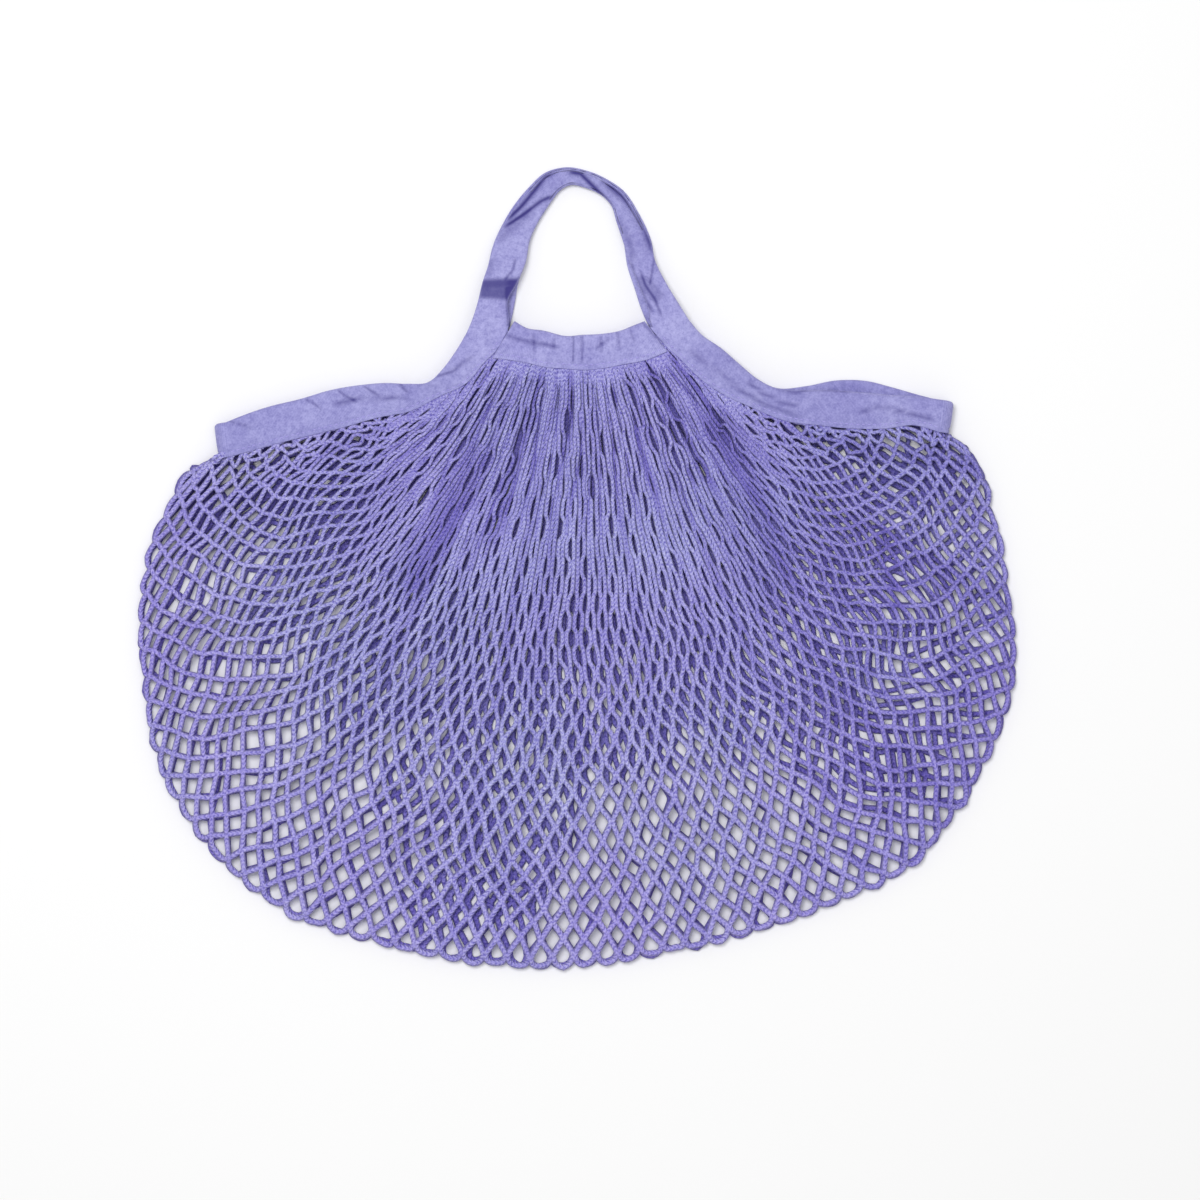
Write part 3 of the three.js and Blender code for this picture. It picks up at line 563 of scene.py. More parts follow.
    # slack strands near the side tapes curl
    chord = np.abs(np.diff(point, axis=1, append=point[:, -1:]))
    length = np.linalg.norm(chord, axis=-1)
    strand = np.convolve(length.ravel(), np.ones(steps), "same").reshape(length.shape)
    spare = np.sqrt(np.clip(1 - (strand / net["slack"]) ** 2, 0, 1))
    away = nearLine(point, middleOf(leftRows)[4:])[0]
    away = np.minimum(away, nearLine(point, middleOf(rightRows)[5:])[0])
    under = 1 - smoothStep(0.022, 0.075, away)
    if not isFront:
        thick = thick * (1 + net["backSwell"] * under)
    curl = spare * (1 - smoothStep(0.014, 0.040, away)) * smoothStep(0.15, 0.4, rowAt)
    start = rng.uniform(0, 2 * math.pi, (2 * columns, 1))
    turn = fine * math.pi * 0.9 + start + 1.7 * np.sin(fine * 0.8 + start * 3)
    point = point + np.stack([np.cos(turn), np.sin(turn * 1.3)], axis=-1) * (curl * net["curl"])[..., None]

    # heights
    held = heldShare(point)
    thick = thick + (np.minimum(thick, 0.92) - thick) * held
    wave = -np.cos(phase)
    wave = np.where(wave > 0, wave ** 2, -np.abs(wave) ** 1.2)
    pleatFade = gathered * (1 - smoothStep(0.62, 0.99, held))
    if isFront:
        height = level["frontNet"] + (level["frontTape"] - level["frontNet"]) * held
        height = height + wave * net["pleatRise"] * pleatFade + lift * net["knotLift"] * (gathered * 0.8 + 0.2) * (1 - held)
        height = height + ripple(point, 0.045, 71) * net["waves"][side] * openness * (1 - held)
        shaded = np.zeros_like(height)
        for width, depth, shade, line in broadFolds:
            distance, _, share = nearLine(point, place(line))
            soft = smoothStep(-0.15, 0.15, share) * (1 - smoothStep(0.85, 1.15, share))
            height = height - depth * np.exp(-(distance / width) ** 2) * soft
            shaded = np.maximum(shaded, shade * np.exp(-(distance / width) ** 2) * soft)
        height = height - sunk * (1 - held * 0.8)
        # painted shade of the front face: in the pleat valleys and the sunk valleys, over the right side, in the broad
        # folds, and deeper over the gathered upper half
        paintedShade = np.clip(-wave, 0, 1) ** 1.3 * pleatFade * net["pleatShade"] + sunk / net["fullShadeDepth"]
        paintedShade = np.maximum(paintedShade, net["rightShade"] * smoothStep(0.58, 0.80, column) * openness)
        paintedShade = np.maximum(paintedShade, shaded)
        paintedShade = 1 - (1 - np.clip(paintedShade, 0, 1)) * (1 - net["upperShade"] * (1 - smoothStep(0.42, 0.72, rowAt)))
    else:
        height = level["backNet"] + (level["backTape"] - level["backNet"]) * held
        height = height + net["backRise"] * gathered * (1 - held)
        # painted shade of the back face: under the gathers and beside the side tapes
        paintedShade = np.maximum(net["backShade"][0] * gathered * (1 - held), net["backShade"][1] * under)
        height = height + np.abs(ripple(point, 0.05, 77)) * net["waves"][side] * openness

    # crossing cords ride over and under one another near a join
    over = np.where(cordIndex % 2 == 0, 1, -1)
    height = height + over * net["crossRise"] * (1 - np.abs(sign)) * (1 if isFront else 0.3)

    # the folded edge
    rim = onLine(outlineLine, edgeShare(np.clip(column, 0, 1)))
    inward = np.linalg.norm(point - rim, axis=-1)
    risen = np.interp(inward / net["margin"], *marginRise.T)
    lowest = net["cordRadius"] * thick
    height = np.maximum(height, lowest)
    if isFront:
        height = lowest + (height - lowest) * np.where(rowAt > 0.5, risen, 1)
    else:
        height = height + np.where(rowAt > 0.5, (1 - risen) * net["backEdgeRise"], 0)
    cords = np.concatenate([point, height[..., None], thick[..., None], np.clip(paintedShade, 0, 1)[..., None]], axis=-1)

    # neighbours that meet at the rim are one cord bent round in a loop
    pairs = []
    first = halfRows % 2
    if first:
        pairs.append(cords[0])
    for q in range(first, 2 * columns - 1, 2):
        down, up = cords[q], cords[q + 1][::-1]
        pairs.append(np.vstack([down[:-1], [(down[-1] + up[0]) / 2], up[1:]]))
    if first:
        pairs.append(cords[-1])
    return pairs


# a node tree that takes lines, and further inputs by name with their first values
def newTree(name, inputs, output):
    tree = bpy.data.node_groups.new(name, "GeometryNodeTree")
    tree.interface.new_socket("Lines", in_out="INPUT", socket_type="NodeSocketGeometry")
    for label, kind, value in inputs:
        tree.interface.new_socket(label, in_out="INPUT", socket_type=kind).default_value = value
    tree.interface.new_socket(output, in_out="OUTPUT", socket_type="NodeSocketGeometry")
    return tree, addNode(tree, "NodeGroupInput").outputs, addNode(tree, "NodeGroupOutput").inputs


# Geometry Nodes: centre lines to knitted cords
def cordTree(radius, sides, material):
    inputs = [("Cord radius", "NodeSocketFloat", radius), ("Sides", "NodeSocketInt", sides)]
    tree, given, ended = newTree("cords along lines", inputs, "Cords")
    curve = addNode(tree, "GeometryNodeMeshToCurve", [("Mesh", given["Lines"])])
    normals = addNode(tree, "GeometryNodeSetCurveNormal", [("Curve", curve)], mode="Z_UP")
    profile = addNode(tree, "GeometryNodeCurvePrimitiveCircle", [("Resolution", given["Sides"]), ("Radius", given["Cord radius"])])
    turn = addNode(tree, "GeometryNodeSplineParameter").outputs["Factor"]
    inputs = [("Name", "around"), ("Geometry", profile), ("Value", turn)]
    store = addNode(tree, "GeometryNodeStoreNamedAttribute", inputs, data_type="FLOAT", domain="POINT")
    thickness = addNode(tree, "GeometryNodeInputNamedAttribute", [("Name", "thickness")], data_type="FLOAT")
    inputs = [("Curve", normals), ("Profile Curve", store), ("Scale", thickness.outputs["Attribute"]), ("Fill Caps", True)]
    sweep = addNode(tree, "GeometryNodeCurveToMesh", inputs)
    smooth = addNode(tree, "GeometryNodeSetShadeSmooth", [("Geometry", sweep)])
    paint = addNode(tree, "GeometryNodeSetMaterial", [("Geometry", smooth), ("Material", material)])
    real = addNode(tree, "GeometryNodeRealizeInstances", [("Geometry", paint)])
    tree.links.new(real.outputs["Geometry"], ended["Cords"])
    return tree


def pointValues(mesh, name, values):
    mesh.attributes.new(name, "FLOAT", "POINT").data.foreach_set("value", values.astype(np.float32).ravel())


# a mesh of edges only, one chain a line, with the length along it, its thickness and a tone darkened by painted shade
def lineObject(name, lines, tonesAndShade):
    counts = [len(line) for line in lines]
    points = np.vstack(lines)
    if points.shape[1] == 3:
        points = np.hstack([points, np.ones((len(points), 1)), np.zeros((len(points), 1))])
    starts = np.concatenate([[0], np.cumsum(counts)])
    edges = np.concatenate([np.stack([np.arange(a, b - 1), np.arange(a + 1, b)], axis=1) for a, b in zip(starts[:-1], starts[1:])])
    mesh = bpy.data.meshes.new(name)
    mesh.vertices.add(len(points))
    mesh.vertices.foreach_set("co", points[:, :3].astype(np.float32).ravel())
    mesh.edges.add(len(edges))
    mesh.edges.foreach_set("vertices", edges.astype(np.int32).ravel())
    lengths = [np.concatenate([[0], np.cumsum(np.linalg.norm(np.diff(line[:, :3], axis=0), axis=1))]) for line in lines]
    pointValues(mesh, "along", np.concatenate(lengths))
    pointValues(mesh, "thickness", points[:, 3])
    # each line's tone, times the painted shade of each point
    pointValues(mesh, "toneAndShade", np.repeat(tonesAndShade, counts) * (1 - points[:, 4]))
    return linkObject(name, mesh)


# runs a node tree on an object and keeps the result as its plain mesh
def applyTree(obj, tree, values=()):
    modifier = obj.modifiers.new("nodes", "NODES")
    modifier.node_group = tree
    sockets = {item.name: item.identifier for item in tree.interface.items_tree if item.in_out == "INPUT"}
    for name, value in values:
        modifier[sockets[name]] = value
    graph = bpy.context.evaluated_depsgraph_get()
    result = bpy.data.meshes.new_from_object(obj.evaluated_get(graph))
    obj.modifiers.remove(modifier)
    old = obj.data
    obj.data = result
    bpy.data.meshes.remove(old)
    return obj


cordNodes = cordTree(net["cordRadius"], net["sides"], cordCloth)
netPieces = []
for side in ("front", "back"):
    lines = netCords(side)
    half = len(lines) // 2
    low, high = net["tonesAndShade"][side]
    tonesAndShade = np.random.default_rng(3 if side == "front" else 4).uniform(low, high, len(lines))
    for part, chosen, shades in (("left", lines[:half], tonesAndShade[:half]), ("right", lines[half:], tonesAndShade[half:])):
        piece = lineObject(f"net_{side}_{part}", chosen, shades)
        applyTree(piece, cordNodes, [("Cord radius", net["cordRadius"]), ("Sides", net["sides"])])
        netPieces.append(piece)
        print("stage:", piece.name, len(piece.data.polygons), "faces")

# tapes
# creases of the cloth with painted shade along them, shares of the bag's size: depth of the step, width, darkness of
# the painted shade, points
tapeCreases = {
    "left": [
        (0.0005, 0.0012, 0.55, [(-0.275, 0.700), (-0.257, 0.706), (-0.223, 0.709), (-0.189, 0.709)]),
        (0.0004, 0.0010, 0.55, [(-0.393, 0.681), (-0.382, 0.677), (-0.368, 0.673)]),
        (0.0004, 0.0010, 0.55, [(-0.307, 0.708), (-0.298, 0.703), (-0.289, 0.696)]),
        (0.0005, 0.0010, 0.55, [(-0.270, 0.719), (-0.262, 0.712), (-0.250, 0.706)]),
        (0.0005, 0.0010, 0.55, [(-0.241, 0.724), (-0.234, 0.719), (-0.223, 0.712)]),
        (0.0005, 0.0010, 0.55, [(-0.200, 0.727), (-0.194, 0.719), (-0.189, 0.714)]),
        (0.0004, 0.0012, 0.55, [(-0.160, 0.735), (-0.140, 0.742), (-0.118, 0.762)]),
    ],
    "right": [
        (0.0005, 0.0012, 0.55, [(0.233, 0.719), (0.248, 0.716), (0.270, 0.721), (0.310, 0.717)]),
        (0.0005, 0.0013, 0.55, [(0.318, 0.691), (0.338, 0.696), (0.357, 0.695), (0.406, 0.681)]),
        (0.0006, 0.0013, 0.55, [(0.129, 0.769), (0.146, 0.754), (0.165, 0.737), (0.188, 0.717), (0.214, 0.700), (0.253, 0.685)]),
        (0.0005, 0.0011, 0.55, [(0.191, 0.732), (0.208, 0.717), (0.231, 0.704), (0.253, 0.697)]),
    ],
    "handle": [
        (0.0010, 0.0017, 1.00, [(-0.080, 0.931), (-0.062, 0.950), (-0.047, 0.970), (-0.036, 0.986), (-0.025, 0.9925)]),
        (0.0007, 0.0014, 0.90, [(-0.082, 0.923), (-0.060, 0.9395), (-0.040, 0.956), (-0.026, 0.963)]),
        (0.0010, 0.0017, 1.00, [(-0.010, 0.9925), (0.0044, 0.990), (0.023, 0.970), (0.040, 0.948)]),
        (0.0014, 0.0027, 1.00, [(0.030, 0.983), (0.040, 0.974), (0.053, 0.962), (0.067, 0.944), (0.0785, 0.921), (0.088, 0.890)]),
        (0.0004, 0.0030, 0.35, [(0.045, 0.935), (0.060, 0.905), (0.064, 0.880)]),
        (0.0004, 0.0032, 0.30, [(-0.090, 0.905), (-0.070, 0.925), (-0.050, 0.945)]),
        (0.0006, 0.0016, 0.75, [(0.061, 0.880), (0.066, 0.858), (0.076, 0.834), (0.086, 0.816)]),
        (0.0004, 0.0010, 0.55, [(-0.069, 0.884), (-0.072, 0.869), (-0.081, 0.857)]),
        (0.0004, 0.0010, 0.55, [(0.072, 0.869), (0.078, 0.850), (0.089, 0.832), (0.097, 0.809)]),
        (0.0003, 0.0009, 0.55, [(0.089, 0.888), (0.083, 0.850)]),
    ],
    "mouth": [
        (0.0005, 0.0011, 0.55, [(-0.083, 0.794), (-0.073, 0.784), (-0.041, 0.777), (-0.019, 0.772)]),
        (0.0005, 0.0008, 0.55, [(-0.004, 0.789), (-0.003, 0.769), (-0.004, 0.752)]),
        (0.0005, 0.0008, 0.55, [(0.006, 0.789), (0.007, 0.769), (0.006, 0.752)]),
        (0.0004, 0.0008, 0.55, [(0.038, 0.782), (0.027, 0.776), (0.022, 0.769)]),
        (0.0004, 0.0010, 0.55, [(0.072, 0.807), (0.086, 0.789), (0.100, 0.774)]),
        (0.0004, 0.0011, 0.40, [(-0.049, 0.790), (-0.047, 0.766)]),
        (0.0003, 0.0010, 0.30, [(-0.025, 0.787), (-0.026, 0.770)]),
        (0.0004, 0.0011, 0.40, [(0.027, 0.787), (0.029, 0.764)]),
        (0.0004, 0.0011, 0.40, [(0.046, 0.792), (0.049, 0.770)]),
        (0.0003, 0.0010, 0.35, [(0.060, 0.797), (0.066, 0.776)]),
    ],
}

# darker places: how much lower, how dark, soft edge, corners
shadePatches = {
    "handle": [
        (0.0004, 0.10, 0.0008, [(-0.112, 0.858), (-0.050, 0.860), (-0.050, 0.851), (-0.112, 0.847)]),
        (0.0000, 0.80, 0.0016, [(-0.112, 0.857), (-0.050, 0.859), (-0.058, 0.830), (-0.110, 0.834)]),
        (0.0000, 0.25, 0.0040, [(-0.075, 0.858), (-0.048, 0.860), (-0.062, 0.812), (-0.078, 0.815)]),
        (0.0010, 0.75, 0.0008, [(-0.080, 0.846), (-0.050, 0.850), (-0.060, 0.800), (-0.078, 0.800)]),
        (0.0002, 0.35, 0.0012, [(0.066, 0.862), (0.082, 0.860), (0.100, 0.838), (0.090, 0.826), (0.074, 0.842)]),
        (0.0000, 0.30, 0.0015, [(-0.110, 0.884), (-0.092, 0.884), (-0.096, 0.862), (-0.112, 0.862)]),
    ],
}

tape = {
    "ply": 0.00085,
    "slot": 0.0025,        # room for the net between the plies
    "edgeHalf": 0.00165,   # half thickness where the free edges are stitched down
    "strap": 0.0023,
    "seamInset": 0.0024,
    "step": 0.0009,        # spacing of the sections
    "puffs": (0.00018, 0.00007),  # how high the cloth ripples, in waves of 13 and of 5 mm
    "pucker": 0.00016,     # height of the puckers along the seam
    "puckerReach": 0.0055,
    "puckerLength": 0.0052,
    "mostSunk": 0.62,      # no crease cuts deeper than this share of a ply
    "mostRisen": 0.0011,
    "stitch": 0.0029,
    "stitchLength": 0.0019,
    "stitchRadius": 0.00027,
}


# smooth stations along a table of rows: edges, level and facing
def stationsOf(rows, heights, shiftShare=None, drawIn=None):
    top, low = edgesOf(rows)
    if shiftShare is not None:
        move = (top - low) * np.array(shiftShare)[:, None]
        top, low = top + move, low + move
    if drawIn is not None:
        inward = (low - top) / np.linalg.norm(low - top, axis=1)[:, None]
        fromTop, fromLow = np.array(drawIn)[:, :, None] * 0.001
        top, low = top + inward * fromTop, low - inward * fromLow
    middle = (top + low) / 2
    knots = np.concatenate([[0], np.cumsum(np.linalg.norm(np.diff(middle, axis=0), axis=1))])
    even = np.linspace(0, knots[-1], max(int(knots[-1] / tape["step"]), 8) + 1)
    heights = np.zeros((len(rows), 1)) + np.reshape(heights, (-1, 1))
    made = curveThrough(knots, np.hstack([top, low, heights]), even)
    up = np.tile([0.0, 0, 1], (len(even), 1))
    return {
        "top": made[:, 0:2], "low": made[:, 2:4], "height": made[:, 4],
        "at": even, "normal": up, "thick": np.ones(len(even)),
    }


# a cubic curve through the values at the knots
def curveThrough(knots, values, where):
    slopes = np.gradient(values, knots, axis=0)
    k = np.clip(np.searchsorted(knots, where, "right") - 1, 0, len(knots) - 2)
    span = (knots[k + 1] - knots[k])[:, None]
    t = ((where - knots[k]) / (knots[k + 1] - knots[k]))[:, None]
    h00, h10 = 2 * t ** 3 - 3 * t ** 2 + 1, t ** 3 - 2 * t ** 2 + t
    h01, h11 = -2 * t ** 3 + 3 * t ** 2, t ** 3 - t ** 2
    return h00 * values[k] + h10 * span * slopes[k] + h01 * values[k + 1] + h11 * span * slopes[k + 1]


# height change and shade of the cloth at flat points, from the creases
def creaseRelief(points, names):
    rise = np.zeros(points.shape[:-1])
    shade = np.zeros(points.shape[:-1])
    for name in names:
        for depth, width, dark, line in tapeCreases[name]:
            distance, side, share = nearLine(points, place(line))
            ends = smoothStep(-0.06, 0.12, share) * (1 - smoothStep(0.88, 1.06, share))
            groove = np.exp(-(distance / width) ** 2)
            bank = np.exp(-(distance / (width * 4)) ** 2) * (side > 0)
            rise += depth * (bank * 0.7 - groove) * ends
            shade += np.exp(-(distance / (width * 0.75)) ** 2) * ends * dark
    for name in names:
        for depth, dark, soft, corners in shadePatches.get(name, []):
            inside = insideOf(points, place(corners), soft)
            rise -= depth * inside
            shade += dark * inside
    return rise, np.clip(shade, 0, 1)


# 1 inside a closed outline and 0 outside it, blended over the soft distance
def insideOf(points, corners, soft):
    distance, _, _ = nearLine(points, np.vstack([corners, corners[:1]]))
    inside = np.zeros(points.shape[:-1], bool)
    for a, b in zip(corners, np.roll(corners, -1, axis=0)):
        crosses = (a[1] > points[..., 1]) != (b[1] > points[..., 1])
        reach = a[0] + (points[..., 1] - a[1]) / (b[1] - a[1] + 1e-12) * (b[0] - a[0])
        inside ^= crosses & (points[..., 0] < reach)
    return smoothStep(-soft, soft, np.where(inside, distance, -distance))


# folded tape across its width: plies apart for the net, closing on the stitched free edge.
# gives the distance across from the middle and the lift off it, point by point
def tapeSection(width):
    half, seam, ply, edge = width / 2, tape["seamInset"], tape["ply"], tape["edgeHalf"]
    slot = tape["slot"] / 2
    outer = slot + ply
    # the front ply's two sides, from the free edge to the fold: the back ply mirrors them
    outside = [(0, edge - 0.00015), (0.0004, edge), (seam * 0.6, edge + 0.00010), (seam, edge - 0.00022),
               (seam * 1.5, edge + 0.00030), (seam * 2.1, outer * 0.95)]
    outside += [(width * share, outer) for share in (0.38, 0.5, 0.62, 0.72, 0.80)]
    inside = [(0, edge - ply * 0.85), (seam, edge - ply), (seam * 2.1, slot * 0.95)]
    inside += [(width * share, slot) for share in (0.38, 0.6, 0.78)]
    bend = width - outer * 1.05
    around = [(bend + outer * 1.05 * math.cos(a), outer * math.sin(a)) for a in np.radians((75, 50, 25, 0, -25, -50, -75))]
    within = [(bend + slot * math.cos(a), slot * math.sin(a)) for a in np.radians((-60, -20, 20, 60))]
    points = outside + around + [(x, -y) for x, y in outside[::-1]]
    points += [(x, -y) for x, y in inside] + within + inside[::-1]
    across, lift = np.array(points).T
    return across - half, lift


# two plies pressed flat, with a rounded fold on each side
def strapSection(width):
    half, top = width / 2, tape["strap"] / 2
    roll = min(0.0013, half * 0.3)
    right, left = np.radians(np.linspace(-90, 90, 7)), np.radians(np.linspace(90, 270, 7))
    over, below = np.linspace(0.90, 0.10, 24), np.linspace(0.12, 0.88, 10)
    across = [half - roll + roll * np.cos(right), width * over - half, roll - half + roll * np.cos(left), width * below - half]
    lift = [top * np.sin(right), np.full(24, top), top * np.sin(left), np.full(10, -top)]
    return np.concatenate(across), np.concatenate(lift)


# lofts a section along stations and lays creases and ripples on its outward face
def sweepTape(name, stations, section, creases, seed, keepRange):
    vertices, weave, lifts, faces = [], [], [], []
    for k in range(len(stations["height"])):
        top, low = stations["top"][k], stations["low"][k]
        width = np.linalg.norm(top - low)
        across, lift = section(width)
        lift = lift * stations["thick"][k]
        count = len(across)
        flat = (top + low) / 2 + (top - low) / width * across[:, None]
        base = np.concatenate([flat, np.full((count, 1), stations["height"][k])], axis=1)
        vertices.append(base + stations["normal"][k] * lift[:, None])
        around = np.concatenate([[0], np.cumsum(np.hypot(np.diff(across), np.diff(lift)))])
        weave.append(np.stack([np.full(count, stations["at"][k]), around], axis=1))
        lifts.append(lift)
    vertices = np.array(vertices)
    weave = np.array(weave)
    lift = np.array(lifts)
    up = stations["normal"][:, 2]
    facing = np.clip(up, 0, 1)[:, None] * np.clip(lift / 0.0011, 0, 1)
    rise, shade = creaseRelief(vertices[..., :2], creases)
    puff = ripple(vertices[..., :2], 0.013, seed) * tape["puffs"][0] + ripple(vertices[..., :2], 0.005, seed + 1) * tape["puffs"][1]
    reach = np.linalg.norm(stations["top"] - stations["low"], axis=1)[:, None]
    fromEdge = weave[..., 1] if section is tapeSection else np.minimum(weave[..., 1], np.abs(reach - weave[..., 1]))
    alongAt = stations["at"][:, None]
    wobble = ripple(np.stack([alongAt + 0 * fromEdge, fromEdge * 0.3], axis=-1), 0.02, seed + 3)
    pucker = np.sin(alongAt / tape["puckerLength"] * 2 * math.pi + wobble * 3) * tape["pucker"]
    if section is tapeSection:
        puff = puff + pucker * np.exp(-(fromEdge / tape["puckerReach"]) ** 2)
    change = np.clip((rise + puff) * facing, -tape["ply"] * tape["mostSunk"], tape["mostRisen"])
    vertices[..., 2] = np.clip(vertices[..., 2] + change, *keepRange)
    rows = len(vertices)
    flatVertices = vertices.reshape(-1, 3)
    for k in range(rows - 1):
        for j in range(count):
            n = (j + 1) % count
            faces.append((k * count + j, k * count + n, (k + 1) * count + n, (k + 1) * count + j))
    faces.append(tuple(range(count - 1, -1, -1)))
    faces.append(tuple((rows - 1) * count + j for j in range(count)))
    mesh = bpy.data.meshes.new(name)
    mesh.from_pydata(flatVertices.tolist(), [], faces)
    layer = mesh.uv_layers.new(name="weave")
    loops = np.zeros(len(mesh.loops), np.int32)
    mesh.loops.foreach_get("vertex_index", loops)
    layer.data.foreach_set("uv", weave.reshape(-1, 2)[loops].astype(np.float32).ravel())
    # painted shade of the creases and patches, on the outward face only
    pointValues(mesh, "paintedTapeShade", shade * facing)
    for polygon in mesh.polygons:
        polygon.use_smooth = True
    mesh.materials.append(tapeCloth)
    mesh.update()
    faceOutwards(mesh)
    return linkObject(name, mesh)


# turns every face of a closed mesh outwards
def faceOutwards(mesh):
    work = bmesh.new()
    work.from_mesh(mesh)
    bmesh.ops.triangulate(work, faces=[f for f in work.faces if len(f.verts) > 4])
    if work.calc_volume(signed=True) < 0:
        bmesh.ops.reverse_faces(work, faces=work.faces)
    work.to_mesh(mesh)
    work.free()
    mesh.update()


def joinStations(parts):
    at = 0.0
    for part in parts:
        part["at"] = part["at"] - part["at"][0] + at
        at = part["at"][-1] + tape["step"]
    return {key: np.concatenate([part[key] for part in parts]) for key in parts[0]}


# a side tape runs along the front, turns at its outer end and comes back behind
def sideStations(rows, show=None):
    front = stationsOf(rows, level["frontTape"])
    opening = smoothStep(0, 0.016, front["at"])
    front["thick"] = 0.45 + 0.55 * opening
    front["height"] = front["height"] + 0.00035 * (1 - opening)
    back = {key: value[::-1] for key, value in stationsOf(rows, level["backTape"], show).items()}
    back["at"] = back["at"][0] - back["at"]
    back["normal"] = -back["normal"]
    top, low = front["top"][-1], front["low"][-1]
    side = top - low
    outwards = np.array([side[1], -side[0]])
    heading = top + low - front["top"][-4] - front["low"][-4]
    outwards = outwards * np.sign(outwards @ heading) / np.linalg.norm(outwards)
    radius = (level["frontTape"] - level["backTape"]) / 2
    angles = np.linspace(0, math.pi, 12)[1:-1]
    reach = np.outer(np.sin(angles), outwards)
    turn = {
        "top": top + radius * reach,
        "low": low + radius * reach,
        "height": level["backTape"] + radius * (1 + np.cos(angles)),
        "normal": np.column_stack([reach, np.cos(angles)]),
        "at": angles * radius,
        "thick": np.ones(len(angles)),
    }
    return joinStations([front, turn, back])


def handleStations(foot, rest, name):
    rows = np.array(handleRows)
    return stationsOf(rows[:, :4], rest + (foot - rest) * rows[:, 4], drawIn=strapDrawIn[name])


def keepIn(node):
    low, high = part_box(node)
    return max(low.z - 0.0002, 0.00005), high.z + 0.0025


# name, stations, section, which creases lie on it, seed and the CAD node it stays inside
tapeRuns = [
    ("left_side_tape", sideStations(leftRows), tapeSection, ("left", "mouth"), 101, "left_side_binding"),
    ("right_side_tape", sideStations(rightRows, backShow), tapeSection, ("right", "mouth"), 131, "right_side_binding"),
    ("front_mouth_tape", stationsOf(mouthRows, level["frontTape"] + 0.0001), tapeSection, ("mouth",), 151, "front_mouth_binding"),
    ("back_mouth_tape", stationsOf(mouthRows, level["backTape"]), tapeSection, (), 171, "back_mouth_binding"),
    ("front_strap", handleStations(level["frontTape"] + 0.0004, 0.0039, "front_strap"), strapSection, ("handle",), 191, "front_handle"),
    ("back_strap", handleStations(level["backTape"], 0.0012, "back_strap"), strapSection, (), 211, "back_handle"),
]
tapePieces = {}
for name, stations, section, creases, seed, node in tapeRuns:
    tapePieces[name] = sweepTape(name, stations, section, creases, seed, keepIn(node))
for piece in tapePieces.values():
    print("stage:", piece.name, len(piece.data.polygons), "faces")


# Geometry Nodes: short stitches laid end to end along lines
def stitchTree(material):
    sizes = (("Spacing", "stitch"), ("Stitch length", "stitchLength"), ("Thread radius", "stitchRadius"))
    inputs = [(label, "NodeSocketFloat", tape[size]) for label, size in sizes]
    tree, given, ended = newTree("stitches along lines", inputs, "Stitches")
    curve = addNode(tree, "GeometryNodeMeshToCurve", [("Mesh", given["Lines"])])
    points = addNode(tree, "GeometryNodeCurveToPoints", [("Curve", curve), ("Length", given["Spacing"])], mode="LENGTH")
    ball = addNode(tree, "GeometryNodeMeshUVSphere", [("Segments", 6), ("Rings", 5), ("Radius", 1)])
    half = mathNode(tree, "MULTIPLY", given["Stitch length"], 0.5)
    scale = addNode(tree, "ShaderNodeCombineXYZ", [(0, given["Thread radius"]), (1, given["Thread radius"]), (2, half)])
    inputs = [("Points", points), ("Instance", ball), ("Rotation", points.outputs["Rotation"]), ("Scale", scale)]
    placed = addNode(tree, "GeometryNodeInstanceOnPoints", inputs)
    real = addNode(tree, "GeometryNodeRealizeInstances", [("Geometry", placed)])
    smooth = addNode(tree, "GeometryNodeSetShadeSmooth", [("Geometry", real)])
    paint = addNode(tree, "GeometryNodeSetMaterial", [("Geometry", smooth), ("Material", material)])
    tree.links.new(paint.outputs["Geometry"], ended["Stitches"])
    return tree


# the seam's line above a tape, a little in from its free edge
def seamLine(rows, height, first, last):
    made = stationsOf(rows, height)
    inward = made["top"] - made["low"]
    inward /= np.linalg.norm(inward, axis=1)[:, None]
    line = made["low"] + inward * tape["seamInset"]
    return np.concatenate([line, made["height"][:, None]], axis=1)[first:last]


seamTop = tape["edgeHalf"] - 0.00005
seams = {
    "left_side_tape": [seamLine(leftRows, level["frontTape"] + seamTop, 8, -2)],
    "right_side_tape": [seamLine(rightRows, level["frontTape"] + seamTop, 8, -2)],
    "front_mouth_tape": [seamLine(mouthRows, level["frontTape"] + seamTop + 0.0001, 3, -3)],
}
for name, lines in seams.items():
    piece = lineObject(f"{name}_stitches", lines, [1.0] * len(lines))
    applyTree(piece, stitchTree(threadCloth))
    tapePieces[piece.name] = piece
    print("stage:", piece.name, len(piece.data.polygons), "faces")

# which CAD parts each tape stands for: every piece is attached to the root, and the CAD parts it stands for are hidden
stands = {
    "left_side_tape": ("left_side_binding",),
    "right_side_tape": ("right_side_binding",),
    "front_mouth_tape": ("front_mouth_binding",),
    "back_mouth_tape": ("back_mouth_binding",),
    "front_strap": ("front_handle",),
    "back_strap": ("back_handle",),
}
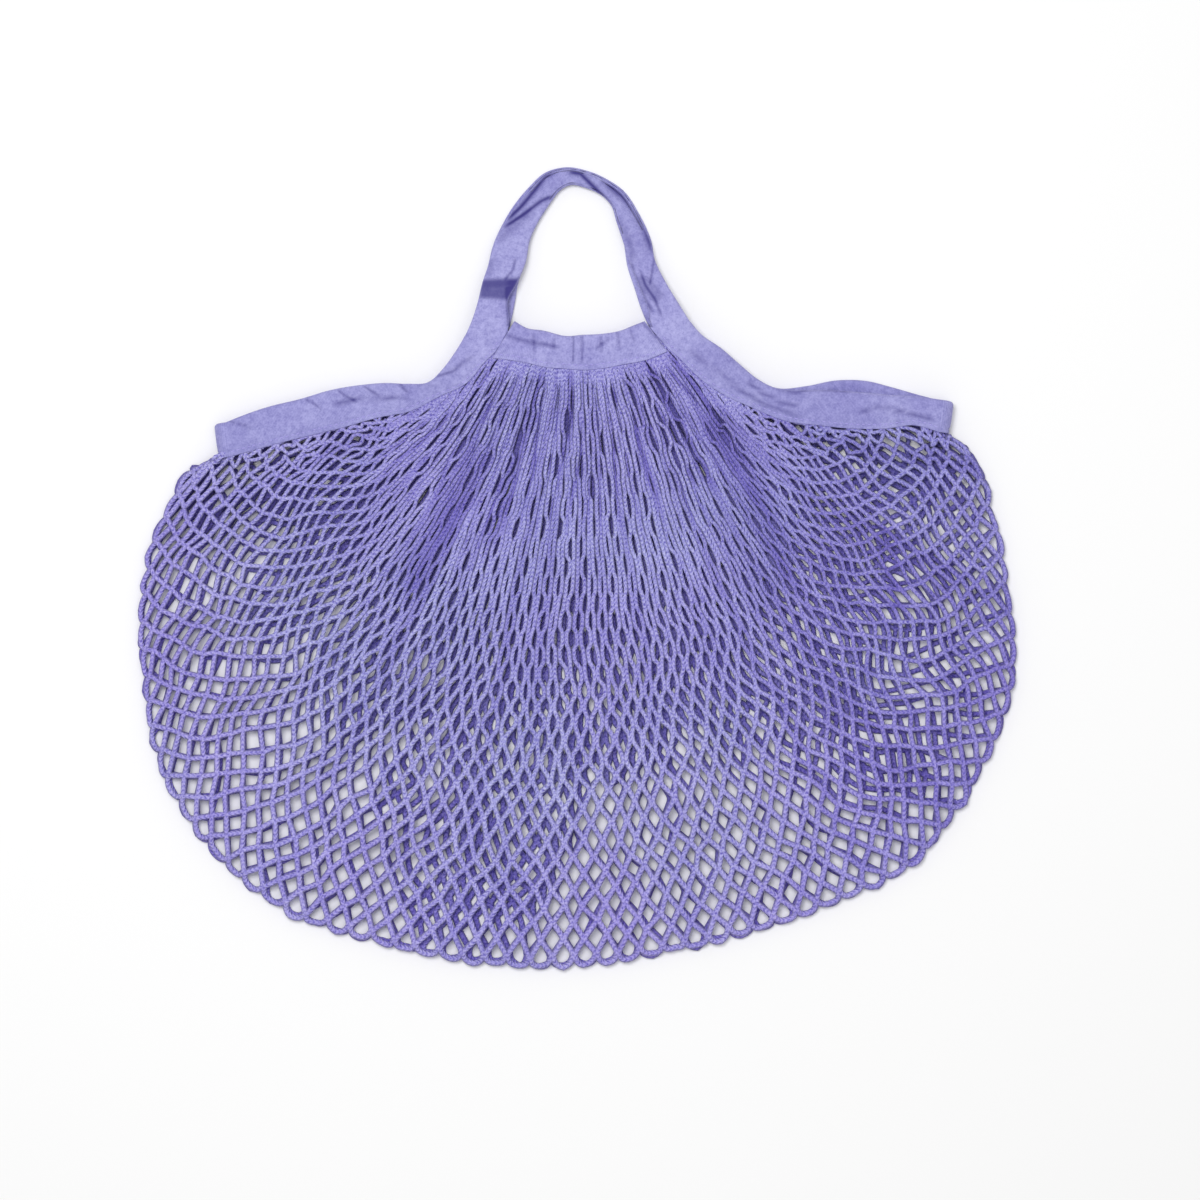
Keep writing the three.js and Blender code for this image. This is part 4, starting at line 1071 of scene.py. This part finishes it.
# flat width and length of each tape before it was folded, metres
cuts = {
    "left_side_tape": (0.040, 0.300), "right_side_tape": (0.040, 0.330),
    "front_mouth_tape": (0.040, 0.085), "back_mouth_tape": (0.040, 0.085),
    "front_strap": (0.020, 0.215), "back_strap": (0.020, 0.205),
}
for name, piece in tapePieces.items():
    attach(piece, "root")
    if name in stands:
        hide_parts(*stands[name])
    if name in cuts:
        surface = sum(face.area for face in piece.data.polygons)
        print("stage: cloth", name, round(surface / 2 * 1e4, 1), "of", round(cuts[name][0] * cuts[name][1] * 1e4, 1), "cm2")
for piece in netPieces:
    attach(piece, "root")
    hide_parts("net_front" if "front" in piece.name else "net_back", "net_fold")

# stage, light and camera
studio = {
    "sky": 0.48,
    "topLight": (0.8, 27, (-0.35, 0.45, 2.1)),   # size, watts, place
    "sideLight": (1.0, 5.5, (0.35, -0.15, 2.0)),
    "cameraAt": (0.0119, -0.0179, 2.2),
    "fieldWidth": 0.6258,  # metres across the picture
    "bagMiddle": 0.007,    # level that the field width is measured at
}
floorMesh = bpy.data.meshes.new("floor")
floorMesh.from_pydata([(-3, -3, 0), (3, -3, 0), (3, 3, 0), (-3, 3, 0)], [], [(0, 1, 2, 3)])
floor = linkObject("floor", floorMesh)
floorMesh.materials.append(newMaterial("paper", [("Base Color", (0.90, 0.90, 0.90, 1)), ("Roughness", 0.95)])[0])

world = bpy.data.worlds.new("studio")
bpy.context.scene.world = world
world.use_nodes = True
world.node_tree.nodes["Background"].inputs[0].default_value = (1, 1, 1, 1)
world.node_tree.nodes["Background"].inputs[1].default_value = studio["sky"]


# an area light that looks at the middle of the bag
def areaLight(name, size, energy, location):
    data = bpy.data.lights.new(name, "AREA")
    data.shape = "SQUARE"
    data.size = size
    data.energy = energy
    light = linkObject(name, data)
    light.location = location
    light.rotation_euler = (-Vector(location)).to_track_quat("-Z", "Y").to_euler()


areaLight("top light", *studio["topLight"])
areaLight("side light", *studio["sideLight"])

cameraData = bpy.data.cameras.new("camera")
camera = linkObject("camera", cameraData)
cameraData.lens_unit = "FOV"
cameraData.angle = 2 * math.atan(studio["fieldWidth"] / 2 / (studio["cameraAt"][2] - studio["bagMiddle"]))
cameraData.clip_end = 20
camera.location = studio["cameraAt"]
camera.rotation_euler = (0, 0, 0)
bpy.context.scene.camera = camera
bpy.context.scene.view_settings.view_transform = "Standard"
